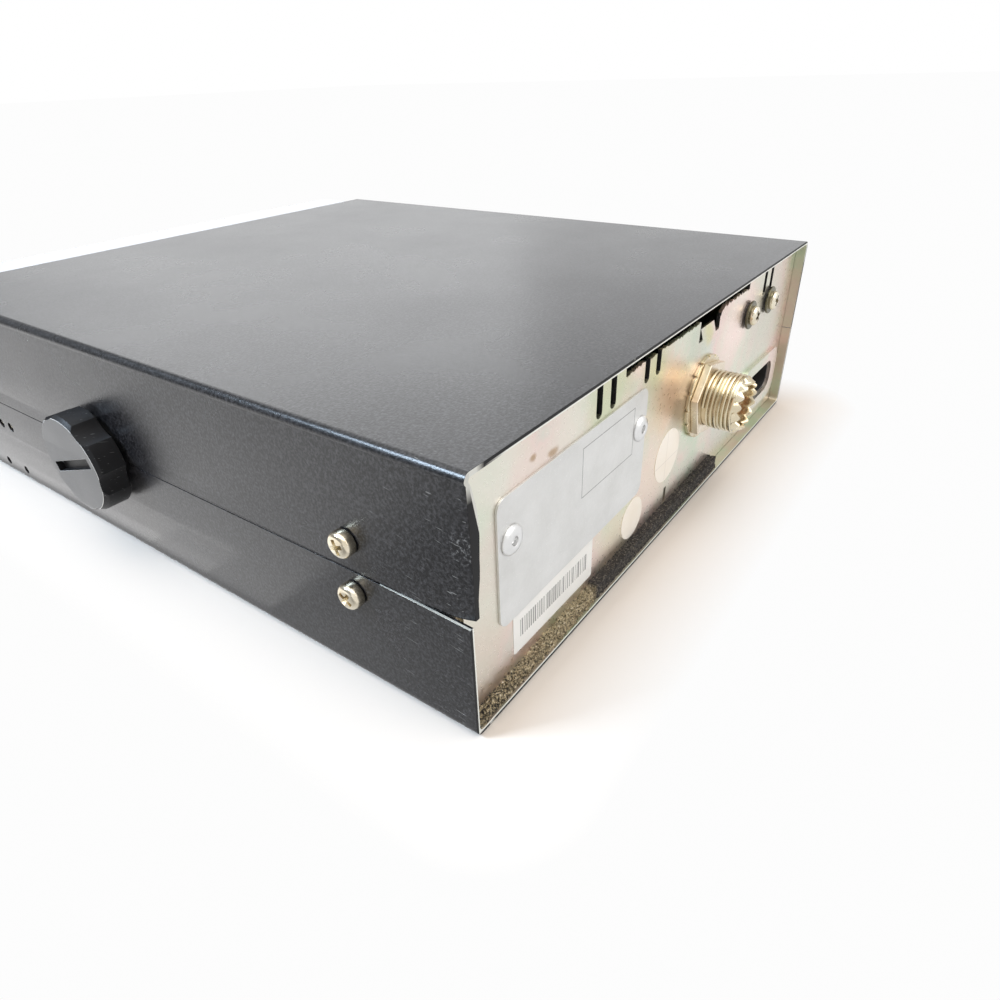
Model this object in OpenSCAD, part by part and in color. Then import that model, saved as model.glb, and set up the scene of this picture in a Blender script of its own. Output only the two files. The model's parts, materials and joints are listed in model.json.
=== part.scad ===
// Full-size mobile two-way radio: two painted steel covers on a plated steel frame,
// sockets on the rear panel, controls on a silver front bezel, thumb screws for a bracket.
// Frame: +Z up, controls face -Y, sockets face +Y, origin at the middle of the underside.

/* [Case] */
// Width over the covers
case_w = 184; // [176:1:200]
// Depth of the covers, front to rear
case_d = 206; // [196:1:226]
// Height over the covers
case_h = 57; // [55:0.5:66]
// Height of the seam between the two covers
seam_z = 28; // [27.5:0.5:31]
// Gap between the two covers at the seam
seam_gap = 0.4; // [0.2:0.1:1]
// Thickness of the cover sheet
sheet_t = 1; // [0.8:0.1:1.4]
// Outer radius of the cover bends
bend_r = 2.2; // [1.8:0.1:4]
// Clearance between the covers and the frame inside them
cover_gap = 0.2; // [0.1:0.1:0.5]
// How far the covers stand out behind the rear panel
rear_recess = 3; // [2:0.5:6]

/* [Cover holes] */
// Distance of the rear cover screws from the rear edge
screw_rear = 28; // [20:1:40]
// Distance of the front cover screws from the front edge
screw_front = 10; // [9:0.5:11]
// Height of the upper cover screws above the seam
screw_up = 7.5; // [6:0.5:12]
// Depth of the lower cover screws below the seam
screw_down = 5.2; // [5:0.2:6]
// Radius of the small vents in the lower cover's sides
vent_r = 1.5; // [1:0.1:2]
// Pitch of the small side vents
vent_pitch = 6; // [5:0.5:8]
// Height of the upper row of side vents
vent_hi = 19.8; // [19:0.2:20.4]
// Height of the lower row of side vents
vent_lo = 4.4; // [4:0.2:7]
// Radius of the holes in front of the speaker
grille_r = 1.5; // [1:0.1:1.8]
// Pitch of the speaker hole rings
grille_pitch = 7; // [5:0.5:7.5]

/* [Fasteners] */
// Shank radius of the small machine screws
screw_r = 1.5; // [1.2:0.1:1.8]
// Head radius of the small machine screws
head_r = 2.8; // [2.4:0.1:3.2]
// Head height of the small machine screws
head_h = 2; // [1.5:0.1:2.5]
// Length of the cover screws under the head
cover_screw_l = 4.6; // [4:0.2:6]
// Length of the inner screws under the head
inner_screw_l = 6; // [5:0.5:8]
// Clearance of a screw in its hole
screw_gap = 0.1; // [0.05:0.05:0.3]
// Flat to flat width of the small nuts
nut_af = 5.5; // [5:0.1:6]
// Thickness of the small nuts
nut_t = 2.4; // [2:0.1:3]

/* [Frame] */
// Thickness of the frame sheet
frame_t = 1; // [0.8:0.1:1.2]
// How far the side walls stop short of the panel's top and bottom
wall_short = 3; // [2:0.5:5]
// Distance of the frame's front wall behind the covers' front edge
front_inset = 2; // [1.5:0.5:3]
// Height of the board's underside
board_z = 18; // [17:0.5:18.5]
// Width of the ledges that carry the board
ledge_w = 9; // [8:0.5:12]
// Thickness of the board
board_t = 1.6; // [1.2:0.1:2]
// Gap round the board's edges
board_gap = 1.5; // [1:0.1:3]
// Clear depth between the front wall and the board
board_front = 20; // [19:1:26]
// Clear depth between the board and the rear panel
board_rear = 19; // [18:1:24]

/* [Rear panel] */
// Width of the slots in the panel's top edge
slot_w = 2.5; // [1.5:0.1:3]
// Distance between the two slots of a pair
slot_pitch = 6; // [5:0.5:7]
// Depth of the slots below the covers' top
slot_depth = 10.7; // [9.5:0.1:11]
// Depth of the dip in the panel's top edge below the covers' top
dip_depth = 5; // [4:0.1:6]
// Left end of the dip, seen from the rear, from the middle
dip_right = 32; // [30:1:34]
// Other end of the dip, from the middle
dip_left = -46; // [-48:1:-44]
// Middle of the bent tab, from the middle of the panel
tab_x = -16.6; // [-18:0.1:-14]
// Width of the bent tab
tab_w = 9; // [7:0.5:10]
// Width of the data plate
plate_w = 58.6; // [50:0.1:60]
// Height of the data plate
plate_h = 26.6; // [24:0.1:28]
// Thickness of the data plate
plate_t = 0.5; // [0.3:0.1:0.8]
// Corner radius of the data plate
plate_r = 2.5; // [1:0.1:4]
// Distance of the plate from the near side of the case
plate_edge = 12.7; // [11:0.1:14]
// Height of the plate's lower edge
plate_z = 18.4; // [18:0.1:19]
// Height of the plate's rivets
rivet_z = 35.6; // [32:0.1:38]
// Distance of the rivets from the plate's ends
rivet_inset = 3.4; // [3:0.1:5]
// Head radius of the rivets
rivet_r = 2.7; // [2:0.1:3]
// Head height of the rivets
rivet_h = 0.9; // [0.6:0.1:1.2]
// Thickness of the paper labels
label_t = 0.12; // [0.1:0.01:0.2]
// Width of the white label
label_w = 31.7; // [25:0.1:33]
// Height of the white label
label_h = 11.2; // [9:0.1:11.5]
// Radius of the larger round sticker
sticker_r = 7.4; // [6:0.1:8]
// Radius of the smaller round sticker
small_sticker_r = 5.6; // [4.5:0.1:6]
// Length of the foam strip at the panel's foot
foam_l = 120; // [100:1:130]
// Height of the foam strip
foam_h = 3.9; // [3:0.1:4.5]
// Thickness of the foam strip
foam_t = 2.3; // [1.5:0.1:3]

/* [Antenna socket] */
// Place of the socket across the panel
ant_x = -16.6; // [-18:0.1:-15]
// Height of the socket's axis
ant_z = 29.4; // [28.5:0.1:30.5]
// Outer radius of the threaded barrel
ant_r = 7.94; // [7.5:0.01:8.2]
// Length of the barrel behind the panel's face
ant_l = 12.2; // [11.8:0.2:16]
// Radius of the barrel's mouth
ant_bore_r = 5.8; // [5.4:0.1:6.2]
// Depth of the barrel's mouth
ant_mouth = 8; // [6:0.5:9]
// Radius of the inner flange
ant_flange_r = 10.4; // [9.5:0.1:11]
// Thickness of the inner flange
ant_flange_t = 2; // [1.5:0.1:3]
// Flat to flat width of the ring nut
ant_nut_af = 19; // [18:0.1:20]
// Thickness of the ring nut
ant_nut_t = 3; // [2.5:0.1:3.5]
// Thickness of the toothed washer
ant_washer_t = 1; // [0.6:0.1:1.2]
// Outer radius of the toothed washer
ant_washer_r = 11.6; // [10.5:0.1:12]
// Inner radius of the centre contact
pin_bore_r = 2; // [1.8:0.05:2.2]
// Outer radius of the centre contact
contact_r = 2.8; // [2.6:0.1:3.2]
// Clearance between the antenna socket's pieces
ant_gap = 0.06; // [0.04:0.01:0.1]

/* [Power socket] */
// Distance of the power socket's middle from the far side of the case
power_edge = 22.4; // [22:0.1:24]
// Height of the power socket's middle
power_z = 14.6; // [14:0.1:16]
// Width of the opening
power_w = 24; // [20:0.5:25]
// Height of the opening
power_h = 10.5; // [9:0.5:11.5]
// Width of the raised panel area around the opening
emboss_w = 35; // [32:0.5:36]
// Height of the raised panel area
emboss_h = 17.4; // [16:0.1:18]
// How far the raised area stands out
emboss_out = 1; // [0.8:0.1:1.6]
// Depth of the socket's shell
power_d = 14; // [12:0.5:15]
// Wall of the socket's shell
power_wall = 2; // [1.5:0.1:2.2]
// Radius of the power pins
power_pin_r = 1; // [0.8:0.1:1.4]

/* [Speaker jack] */
// Place of the jack across the panel
jack_x = -40; // [-42:0.5:-38]
// Height of the jack
jack_z = 19; // [18.5:0.5:20]
// Radius of the jack's hole
jack_bore_r = 1.8; // [1.7:0.05:1.9]
// Radius of the jack's threaded neck
jack_neck_r = 3; // [2.8:0.1:3.2]
// Radius of the jack's round nut
jack_nut_r = 4.3; // [4:0.1:4.6]
// Thickness of the jack's round nut
jack_nut_t = 2; // [1.5:0.1:2.5]
// Size of the jack's body
jack_body = 10; // [8:0.5:11]
// Depth of the jack's body
jack_d = 12; // [10:0.5:13]

/* [Power transistors] */
// Place of the inner transistor screw across the panel
trans_x = -48.2; // [-50:0.1:-46]
// Distance between the transistor screws
trans_pitch = 18.2; // [16:0.1:20]
// Height of the transistor screws
trans_z = 43.6; // [42:0.1:45]
// Width of a transistor
trans_w = 10; // [9:0.5:12]
// Thickness of a transistor's mould
trans_t = 4.5; // [4:0.1:5]
// Thickness of a transistor's tab
tab_t = 1.3; // [1:0.1:1.6]
// Radius of the insulating washers
shoulder_r = 4; // [3.6:0.1:4.6]
// Thickness of the insulating washers
shoulder_t = 1.4; // [0.8:0.1:1.6]

/* [Thumb screws] */
// Distance of the thumb screws behind the middle of the case
thumb_y = -14; // [-20:0.5:-5]
// Radius of the thumb knobs
thumb_r = 13; // [10:0.5:15]
// Height of the thumb knobs
thumb_h = 6.8; // [6:0.1:12]
// Number of grip flutes round a thumb knob
thumb_flutes = 6; // [4:1:12]
// Radius of the grip flutes
flute_r = 7; // [5:0.5:8]
// Depth of the grip flutes
flute_depth = 1.1; // [0.6:0.1:2]
// Length of the coin slot
coin_l = 20.4; // [12:0.1:22]
// Width of the coin slot
coin_w = 2.6; // [1.6:0.1:3]
// Depth of the coin slot
coin_d = 1.6; // [1:0.1:2.5]
// Radius of the thumb screws' studs
stud_r = 2.46; // [2:0.01:3]
// Length of the studs under the knobs
stud_l = 11; // [10:0.5:14]
// Running clearance of a stud in its nut
stud_gap = 0.04; // [0.02:0.01:0.08]
// Outer radius of the thumb washers
washer_r = 9; // [7:0.5:11]
// Thickness of the thumb washers
washer_t = 1; // [0.6:0.1:2]
// Flat to flat width of the weld nuts
weld_af = 8; // [7.6:0.1:8.4]
// Thickness of the weld nuts
weld_t = 4; // [3:0.1:5]
// Standing clearance between parts that turn or slide on each other
face_gap = 0.1; // [0.05:0.01:0.2]

/* [Front bezel] */
// Depth of the bezel in front of the covers
bezel_d = 20.5; // [19:0.5:26]
// Wall of the bezel
bezel_t = 2.4; // [2:0.1:3]
// Corner radius of the bezel
bezel_r = 5; // [3:0.5:7]
// How far the bezel stands inside the covers' outline
bezel_step = 0.9; // [0.5:0.1:1.5]
// Radius of the bezel's screw posts
post_r = 3.2; // [3:0.1:4]
// Distance of the posts from the bezel's ends
post_x = 7; // [6:0.5:8]
// Distance of the posts from the bezel's top and bottom
post_z = 7; // [6.5:0.5:8]
// Thickness of the clear windows
lens_t = 1.2; // [0.8:0.1:1.5]
// Overlap of the windows on their seats
lens_lip = 1.5; // [1:0.1:2]
// Clearance of the windows in their seats
lens_gap = 0.1; // [0.05:0.05:0.2]
// Height of the windows' middle below the covers' top
window_down = 15.5; // [15:0.5:17]
// Height of the windows
window_h = 18; // [16:0.5:19]

/* [Meter] */
// Distance of the meter's middle from the left end
meter_edge = 34; // [33:0.5:36]
// Width of the meter's window
meter_w = 38; // [32:0.5:40]
// Depth of the meter's case
meter_d = 13; // [11:0.5:14]
// Wall of the meter's case
meter_wall = 1.2; // [1:0.1:1.5]
// Length of the needle from its pivot
needle_l = 14; // [10:0.5:15]
// Width of the needle
needle_w = 0.8; // [0.5:0.1:1.2]
// Radius of the needle's hub
hub_r = 1.8; // [1.4:0.1:2.4]
// Radius of the needle's pivot pin
pivot_r = 0.6; // [0.5:0.05:0.9]
// Running clearance of the small pivots
pivot_gap = 0.05; // [0.03:0.01:0.08]
// Lean of the needle at zero
needle_lean = 40; // [30:1:45]

/* [Channel display] */
// Place of the channel window across the front
display_x = -8; // [-10:0.5:-6]
// Width of the channel window
display_w = 28; // [24:0.5:30]
// Depth of the number module
display_d = 8; // [6:0.5:10]

/* [Controls] */
// Distance of the channel knob from the right end
channel_edge = 24; // [22:0.5:27]
// Height of the channel knob below the covers' top
channel_down = 22; // [21:0.5:23]
// Radius of the channel knob
channel_r = 15; // [12:0.5:16]
// Length of the channel knob
channel_l = 17; // [12:0.5:20]
// Width of the channel switch
switch_w = 22; // [18:0.5:24]
// Depth of the channel switch
switch_d = 15; // [12:0.5:17]
// Place of the middle small knob across the front
knob_x = -8; // [-10:0.5:-4]
// Distance between the small knobs
knob_pitch = 32; // [26:0.5:32]
// Height of the small knobs
knob_z = 15; // [14:0.5:16]
// Radius of the small knobs
knob_r = 7.5; // [6:0.1:9]
// Length of the small knobs
knob_l = 14; // [10:0.5:16]
// Gap between the knobs and the bezel
knob_gap = 0.8; // [0.5:0.1:1.5]
// Radius of the control shafts
shaft_r = 3; // [2.5:0.1:3.2]
// Running clearance of the shafts
shaft_gap = 0.05; // [0.02:0.01:0.08]
// Outer radius of the controls' threaded necks
neck_r = 4.2; // [4:0.1:4.6]
// Length of the threaded necks
neck_l = 6; // [5:0.5:8]
// Radius of the control bodies
pot_r = 8; // [7:0.1:8.5]
// Depth of the control bodies
pot_d = 10; // [8:0.5:12]
// Flat to flat width of the neck nuts
neck_nut_af = 11; // [10.4:0.1:12]
// Thickness of the neck nuts
neck_nut_t = 2; // [1.5:0.1:2.5]
// Clearance round a shaft in the bezel
pass_gap = 1.2; // [0.8:0.1:2]

/* [Toggle switches] */
// Distance of the first toggle from the channel window's end
toggle_edge = 10; // [8:0.5:12]
// Distance between the toggles
toggle_pitch = 14; // [12:0.5:16]
// Tilt of a lever from level at rest
toggle_tilt = 12; // [8:1:14]
// Radius of a lever at its tip
lever_tip_r = 2; // [1.5:0.1:2.4]
// Radius of a lever at its root
lever_root_r = 1.3; // [1:0.1:1.5]
// Length of a lever in front of the bezel
lever_out = 9; // [6:0.5:12]
// Width of a switch body
toggle_w = 8; // [7:0.5:9]
// Height of a switch body
toggle_h = 13; // [12:0.5:14]
// Depth of a switch body
toggle_d = 9; // [8.5:0.5:11]

/* [Microphone socket] */
// Distance of the microphone socket from the left end
mic_edge = 20; // [18:0.5:21]
// Height of the microphone socket
mic_z = 16; // [15:0.5:17]
// Radius of the microphone socket's barrel
mic_r = 7.8; // [7:0.1:8.2]
// Radius of the microphone socket's rim
mic_rim_r = 9.5; // [9:0.1:10.5]
// Thickness of the rim
mic_rim_t = 1.6; // [1:0.1:2]
// Depth of the microphone socket's recess
mic_deep = 10; // [9:0.5:11]
// Radius of the recess
mic_bore_r = 6.4; // [5.8:0.1:6.8]
// Radius of the four contact pins
mic_pin_r = 0.8; // [0.6:0.1:1]

/* [Lamps] */
// Radius of the indicator lamps
lamp_r = 1.5; // [1:0.1:2]
// Distance between the two lamps
lamp_pitch = 14; // [10:0.5:18]
// Height of the lamps
lamp_z = 8.5; // [7.5:0.5:9]

/* [Speaker] */
// Radius of the speaker
speaker_r = 35; // [31:0.5:36]
// Height of the speaker
speaker_h = 14; // [12:0.5:15]
// Radius of the speaker's magnet
magnet_r = 16; // [12:0.5:18]
// Place of the speaker behind the middle of the case
speaker_y = -6; // [-20:1:20]

/* [Hidden] */
$fn = 48;
past = 1;
half_w = case_w / 2;
rear_y = case_d / 2;
front_y = -case_d / 2;
panel_y = rear_y - rear_recess;
panel_in = panel_y - frame_t;
frame_w = half_w - sheet_t - cover_gap;
frame_in = frame_w - frame_t;
panel_z0 = sheet_t + cover_gap;
panel_z1 = case_h - sheet_t - cover_gap;
panel_corner = bend_r + cover_gap;
fold_gap = 0.05;
wall_front = front_y + front_inset;
wall_back = wall_front + frame_t;
side_z0 = panel_z0 + wall_short;
side_z1 = panel_z1 - wall_short;
lower_top = seam_z - seam_gap / 2;
upper_foot = seam_z + seam_gap / 2;
board_top = board_z + board_t;
board_y0 = wall_front + board_front;
board_y1 = panel_y - board_rear;
board_hw = frame_in - board_gap;
screw_hole_r = screw_r + screw_gap;
screw_ys = [rear_y - screw_rear, front_y + screw_front];
slot_z = case_h - slot_depth;
dip_z = case_h - dip_depth;
slot_mids = [40.4, 18.2, -63.85];
plate_x1 = half_w - plate_edge;
plate_mid = plate_x1 - plate_w / 2;
plate_mid_z = plate_z + plate_h / 2;
rivet_xs = [plate_x1 - rivet_inset, plate_x1 - plate_w + rivet_inset];
rivet_hole_r = 1;
label_x1 = plate_x1 - 3.9;
label_z = plate_z - label_h - 0.8;
sticker_place = [4, 20];
small_sticker_place = [23.3, 11];
vent_slot = [1.5, 5];
vent_slot_place = [2.9, 7.3];
power_x = -half_w + power_edge;
power_corner = 4;
power_front = panel_y + emboss_out - frame_t;
power_pin_pitch = 6;
power_pin_l = 5;
trans_xs = [trans_x, trans_x - trans_pitch];
trans_body = 9;
trans_tab = 6.4;
lead_r = 0.4;
lead_foot = max(board_top, power_z + (power_h + power_wall) / 2 + cover_gap);
lead_pitch = 2.54;
collar_r = 2;
ant_seat = panel_y + ant_washer_t;
ant_end = panel_y + ant_l;
ant_thread = ant_seat + ant_nut_t + 0.3;
ant_relief = 0.54;
ant_floor = ant_end - ant_mouth;
ant_back = panel_in - ant_flange_t;
contact_end = ant_end - 2;
contact_tail = 5;
tooth_count = 12;
nut_phase = -12;
thumb_face = half_w + face_gap + washer_t + face_gap;
stud_pass_r = stud_r + 0.6;
bezel_face = front_y - bezel_d;
bezel_in = bezel_face + bezel_t;
bezel_hw = half_w - bezel_step;
bezel_z0 = bezel_step;
bezel_z1 = case_h - bezel_step;
bezel_h = bezel_z1 - bezel_z0;
post_zs = [bezel_z0 + post_z, bezel_z1 - post_z];
post_places = [for (s = [-1, 1], z = post_zs) [s * (bezel_hw - post_x), z]];
post_pilot_r = screw_r + screw_gap;
window_z = case_h - window_down;
meter_x = -half_w + meter_edge;
pivot_z = window_z - window_h / 2 + 2.6;
needle_t = 0.5;
needle_y = bezel_in + meter_d / 2;
channel_x = half_w - channel_edge;
channel_z = case_h - channel_down;
knob_xs = [knob_x - knob_pitch, knob_x, knob_x + knob_pitch];
knob_back = bezel_face - knob_gap;
shaft_grip = 3;
shaft_deep = 6;
shaft_back = wall_back + shaft_deep;
toggle_first = display_x + display_w / 2 + toggle_edge;
toggle_xs = [toggle_first, toggle_first + toggle_pitch];
toggle_pivot_y = bezel_in + 4.6;
trunnion_r = 0.8;
barrel_r = 2.2;
toggle_wall = 1.2;
mic_x = -half_w + mic_edge;
mic_pin_ring = 3.4;
mic_pin_l = 4.5;
lamp_xs = [channel_x - lamp_pitch / 2, channel_x + lamp_pitch / 2];
speaker_flange = 1.2;
basket_h = speaker_h - 7;
stud_ring = speaker_r - 3;
speaker_stud = [for (a = [45, 135, 225, 315]) [stud_ring * cos(a), speaker_y + stud_ring * sin(a)]];
grille_rings = 4;
vent_hi_back = 30.2;
vent_lo_back = 27.8;
can_w = 7.6;
can_x = -60;
can_pitch = 13;
can_rear = 22;
can_row = 16;
can_h = 12;
cap_r = 6.5;
cap_h = 16;
cap_x = 30;
cap_pitch = 18;
cap_y = -34;
cap_row = 20;
cap_step = 1;
dust_r = 8;
cone_t = 0.4;
cone_edge = 8;
mic_stop = 7;
mic_pin_stop = 5;
key_w = 2;
key_h = 1.2;
black = [0.09, 0.09, 0.1];
zinc = [0.72, 0.7, 0.6];
nickel = [0.75, 0.73, 0.68];
silver = [0.78, 0.79, 0.8];

// Places: local +Z points out of the case
module at_side(s, y, z) {
    translate([s * half_w, y, z]) rotate([0, s * 90, 0]) children();
}

module at_rear(x, z) {
    translate([x, panel_y, z]) rotate([-90, 0, 0]) children();
}

module at_front(x, z, y = bezel_face) {
    translate([x, y, z]) rotate([90, 0, 0]) children();
}

// Extrudes a front-view outline from y1 towards the front
module towards_front(y1, l) {
    translate([0, y1, 0]) rotate([90, 0, 0]) linear_extrude(l) children();
}

module rounded_rect(w, h, r) {
    square([w - 2 * r, h], center = true);
    square([w, h - 2 * r], center = true);
    for (x = [-1, 1], y = [-1, 1]) translate([x * (w / 2 - r), y * (h / 2 - r)]) circle(r);
}

module hexagon(af) {
    circle(af / 2 / cos(30), $fn = 6);
}

module ring(outer, inner, h) {
    difference() {
        cylinder(h = h, r = outer);
        translate([0, 0, -past]) cylinder(h = h + 2 * past, r = inner);
    }
}

// Pan-head screw with a cross recess: the head's seat is at 0, the shank runs down
module pan_screw(l) {
    difference() {
        union() {
            translate([0, 0, -l]) cylinder(h = l + head_h / 2, r = screw_r);
            cylinder(h = head_h * 0.45, r = head_r);
            translate([0, 0, head_h * 0.45]) {
                cylinder(h = head_h * 0.55, r1 = head_r, r2 = head_r * 0.72);
            }
        }
        for (a = [0, 90]) rotate(a) translate([-head_r * 0.6, -0.35, head_h * 0.35]) {
            cube([head_r * 1.2, 0.7, head_h]);
        }
    }
}

module hex_nut(af, bore_r, t) {
    linear_extrude(t) difference() {
        hexagon(af);
        circle(bore_r);
    }
}

// Inverted channel seen from the front: top at h, open foot at z0
module arch(w, h, z0, r) {
    translate([-w / 2, z0]) square([w, h - r - z0]);
    translate([-w / 2 + r, z0]) square([w - 2 * r, h - z0]);
    for (s = [-1, 1]) translate([s * (w / 2 - r), h - r]) circle(r);
}

module channel_section(h) {
    difference() {
        arch(case_w, h, 0, bend_r);
        translate([0, -past]) {
            arch(case_w - 2 * sheet_t, h - sheet_t + past, 0, bend_r - sheet_t);
        }
    }
}

// Holes through both side walls for the thumb screws
module thumb_holes(r) {
    for (s = [-1, 1]) at_side(s, thumb_y, seam_z) translate([0, 0, -frame_t - sheet_t - 2 * past]) {
        cylinder(h = frame_t + sheet_t + 3 * past, r = r);
    }
}

module cover_screw_places(z) {
    for (s = [-1, 1], y = screw_ys) at_side(s, y, z) children();
}

module cover_screw_holes(z) {
    cover_screw_places(z) translate([0, 0, -4 * past]) cylinder(h = 5 * past, r = screw_hole_r);
}

module top_cover() color(black) difference() {
    translate([0, 0, upper_foot]) towards_front(rear_y, case_d) channel_section(case_h - upper_foot);
    thumb_holes(stud_pass_r);
    cover_screw_holes(seam_z + screw_up);
}

module side_vent(s, y, z, r) {
    at_side(s, y, z) translate([0, 0, -2 * past]) cylinder(h = 3 * past, r = r);
}

module side_vents() {
    for (s = [-1, 1]) {
        for (i = [0 : 2]) side_vent(s, front_y + vent_hi_back - i * vent_pitch, vent_hi, vent_r);
        for (i = [0 : 1]) side_vent(s, front_y + vent_lo_back - i * 2 * vent_pitch, vent_lo, vent_r * 0.85);
    }
}

module speaker_grille() {
    translate([0, speaker_y, -past]) for (k = [0 : grille_rings - 1], i = [0 : max(0, 6 * k - 1)]) {
        rotate(k == 0 ? 0 : i * 60 / k) translate([k * grille_pitch, 0, 0]) {
            cylinder(h = sheet_t + 2 * past, r = grille_r);
        }
    }
}

module bottom_cover() color(black) {
    difference() {
        translate([0, 0, lower_top]) mirror([0, 0, 1]) {
            towards_front(rear_y, case_d) channel_section(lower_top);
        }
        thumb_holes(stud_pass_r);
        cover_screw_holes(seam_z - screw_down);
        side_vents();
        speaker_grille();
    }
    for (p = speaker_stud) translate([p[0], p[1], sheet_t]) {
        cylinder(h = speaker_flange + nut_t + past, r = screw_r);
    }
}

module cover_screws() color(nickel) {
    cover_screw_places(seam_z + screw_up) pan_screw(cover_screw_l);
    cover_screw_places(seam_z - screw_down) pan_screw(cover_screw_l);
}

// Rear panel as a flat sheet seen from the front
module panel_outline() {
    difference() {
        translate([0, case_h / 2]) rounded_rect(2 * frame_w, panel_z1 - panel_z0, panel_corner);
        translate([dip_left, dip_z]) square([dip_right - dip_left, case_h - dip_z]);
        for (m = slot_mids, s = [-0.5, 0.5]) translate([m + s * slot_pitch, slot_z + slot_w / 2]) {
            circle(slot_w / 2);
            translate([-slot_w / 2, 0]) square([slot_w, slot_depth]);
        }
        for (s = [-1, 1]) translate([tab_x + s * (tab_w + slot_w) / 2 - slot_w / 2, slot_z]) {
            square([slot_w, slot_depth]);
        }
        translate([ant_x, ant_z]) circle(ant_r + ant_gap);
        translate([jack_x, jack_z]) circle(jack_neck_r + ant_gap);
        for (x = trans_xs) translate([x, trans_z]) circle(collar_r + screw_gap);
        for (x = rivet_xs) translate([x, rivet_z]) circle(rivet_hole_r + ant_gap);
        translate(vent_slot_place - vent_slot / 2) square(vent_slot);
        translate([power_x, power_z]) {
            rounded_rect(emboss_w - 2 * frame_t, emboss_h - 2 * frame_t, power_corner);
        }
    }
}

module rear_panel() color(zinc) {
    towards_front(panel_y, frame_t) panel_outline();
    translate([power_x, 0, power_z]) difference() {
        towards_front(panel_y + emboss_out, emboss_out) {
            rounded_rect(emboss_w, emboss_h, power_corner + frame_t);
        }
        towards_front(power_front, emboss_out + past) {
            rounded_rect(emboss_w - 2 * frame_t, emboss_h - 2 * frame_t, power_corner);
        }
        towards_front(panel_y + emboss_out + past, emboss_out + 2 * past) {
            rounded_rect(power_w, power_h, power_corner);
        }
    }
}

module front_wall_hole(x, z, r) {
    at_front(x, z, wall_back + past) cylinder(h = frame_t + 2 * past, r = r);
}

module front_wall_holes() {
    for (x = knob_xs) front_wall_hole(x, knob_z, neck_r + ant_gap);
    front_wall_hole(channel_x, channel_z, neck_r + ant_gap);
    for (p = post_places) front_wall_hole(p[0], p[1], screw_hole_r);
}

module chassis_frame() color(zinc) difference() {
    union() {
        for (s = [-1, 1]) {
            translate([s > 0 ? frame_in : -frame_w, wall_front, side_z0]) {
                cube([frame_t, panel_in - fold_gap - wall_front, side_z1 - side_z0]);
            }
            translate([s > 0 ? frame_in - ledge_w : -frame_in, board_y0, board_z - frame_t]) {
                cube([ledge_w, board_y1 - board_y0, frame_t]);
            }
        }
        translate([-frame_w, wall_front, side_z0]) cube([2 * frame_w, frame_t, side_z1 - side_z0]);
    }
    front_wall_holes();
    thumb_holes(stud_pass_r);
    cover_screw_holes(seam_z + screw_up);
    cover_screw_holes(seam_z - screw_down);
    for (p = board_screw_places()) translate([p[0], p[1], board_z - frame_t - past]) {
        cylinder(h = frame_t + 2 * past, r = screw_hole_r);
    }
}

function board_screw_places() = [for (s = [-1, 1], f = [0.08, 0.5, 0.92])
    [s * (frame_in - ledge_w / 2 - board_gap / 2), board_y0 + f * (board_y1 - board_y0)]];

module foam_strip() color([0.06, 0.06, 0.06]) {
    translate([frame_in - foam_l, panel_y, sheet_t]) cube([foam_l, min(foam_t, rear_recess), foam_h]);
}

module data_plate() color(silver) at_rear(0, 0) linear_extrude(plate_t) difference() {
    translate([plate_mid, -plate_mid_z]) rounded_rect(plate_w, plate_h, plate_r);
    for (x = rivet_xs) translate([x, -rivet_z]) circle(rivet_hole_r + ant_gap);
}

module plate_rivets() color(silver) for (x = rivet_xs) at_rear(x, rivet_z) difference() {
    union() {
        translate([0, 0, plate_t]) cylinder(h = rivet_h * 0.5, r = rivet_r);
        translate([0, 0, plate_t + rivet_h / 2]) {
            cylinder(h = rivet_h / 2, r1 = rivet_r, r2 = rivet_r * 0.7);
        }
        translate([0, 0, -frame_t - past]) cylinder(h = frame_t + past + plate_t, r = rivet_hole_r);
    }
    translate([0, 0, plate_t]) cylinder(h = rivet_h + past, r = rivet_hole_r * 0.65);
}

module paper_label() color("white") at_rear(label_x1 - label_w / 2, label_z + label_h / 2) {
    linear_extrude(label_t) rounded_rect(label_w, label_h, 0.6);
}

module round_stickers() color([0.95, 0.93, 0.85]) {
    at_rear(sticker_place[0], sticker_place[1]) cylinder(h = label_t, r = sticker_r);
    at_rear(small_sticker_place[0], small_sticker_place[1]) cylinder(h = label_t, r = small_sticker_r);
}

// Antenna socket: flange behind the panel, barrel through it, serrated rim
module at_antenna(y) {
    translate([ant_x, y, ant_z]) rotate([-90, 0, 0]) children();
}

module antenna_socket() color(nickel) at_antenna(0) difference() {
    union() {
        translate([0, 0, ant_back]) cylinder(h = ant_flange_t, r = ant_flange_r);
        translate([0, 0, ant_back]) cylinder(h = ant_thread - ant_back, r = ant_r - ant_relief);
        translate([0, 0, ant_thread - 0.1]) cylinder(h = ant_end - ant_thread + 0.1, r = ant_r);
    }
    translate([0, 0, ant_floor]) cylinder(h = ant_mouth + past, r = ant_bore_r);
    translate([0, 0, ant_back - past]) cylinder(h = ant_floor - ant_back + 2 * past, r = ant_bore_r - 1);
    for (i = [0 : tooth_count - 1]) rotate(i * 360 / tooth_count) translate([0, -0.45, ant_end - 0.9]) {
        cube([ant_r + past, 0.9, 0.9 + past]);
    }
}

module antenna_insulator() color([0.9, 0.88, 0.82]) difference() {
    union() {
        at_antenna(ant_floor) cylinder(h = 2, r = ant_bore_r - ant_gap);
        at_antenna(ant_back - past) cylinder(h = ant_floor - ant_back + past, r = ant_bore_r - 1 - ant_gap);
    }
    at_antenna(ant_back - 2 * past) cylinder(h = ant_floor - ant_back + 5 * past, r = contact_r + ant_gap);
}

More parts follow.
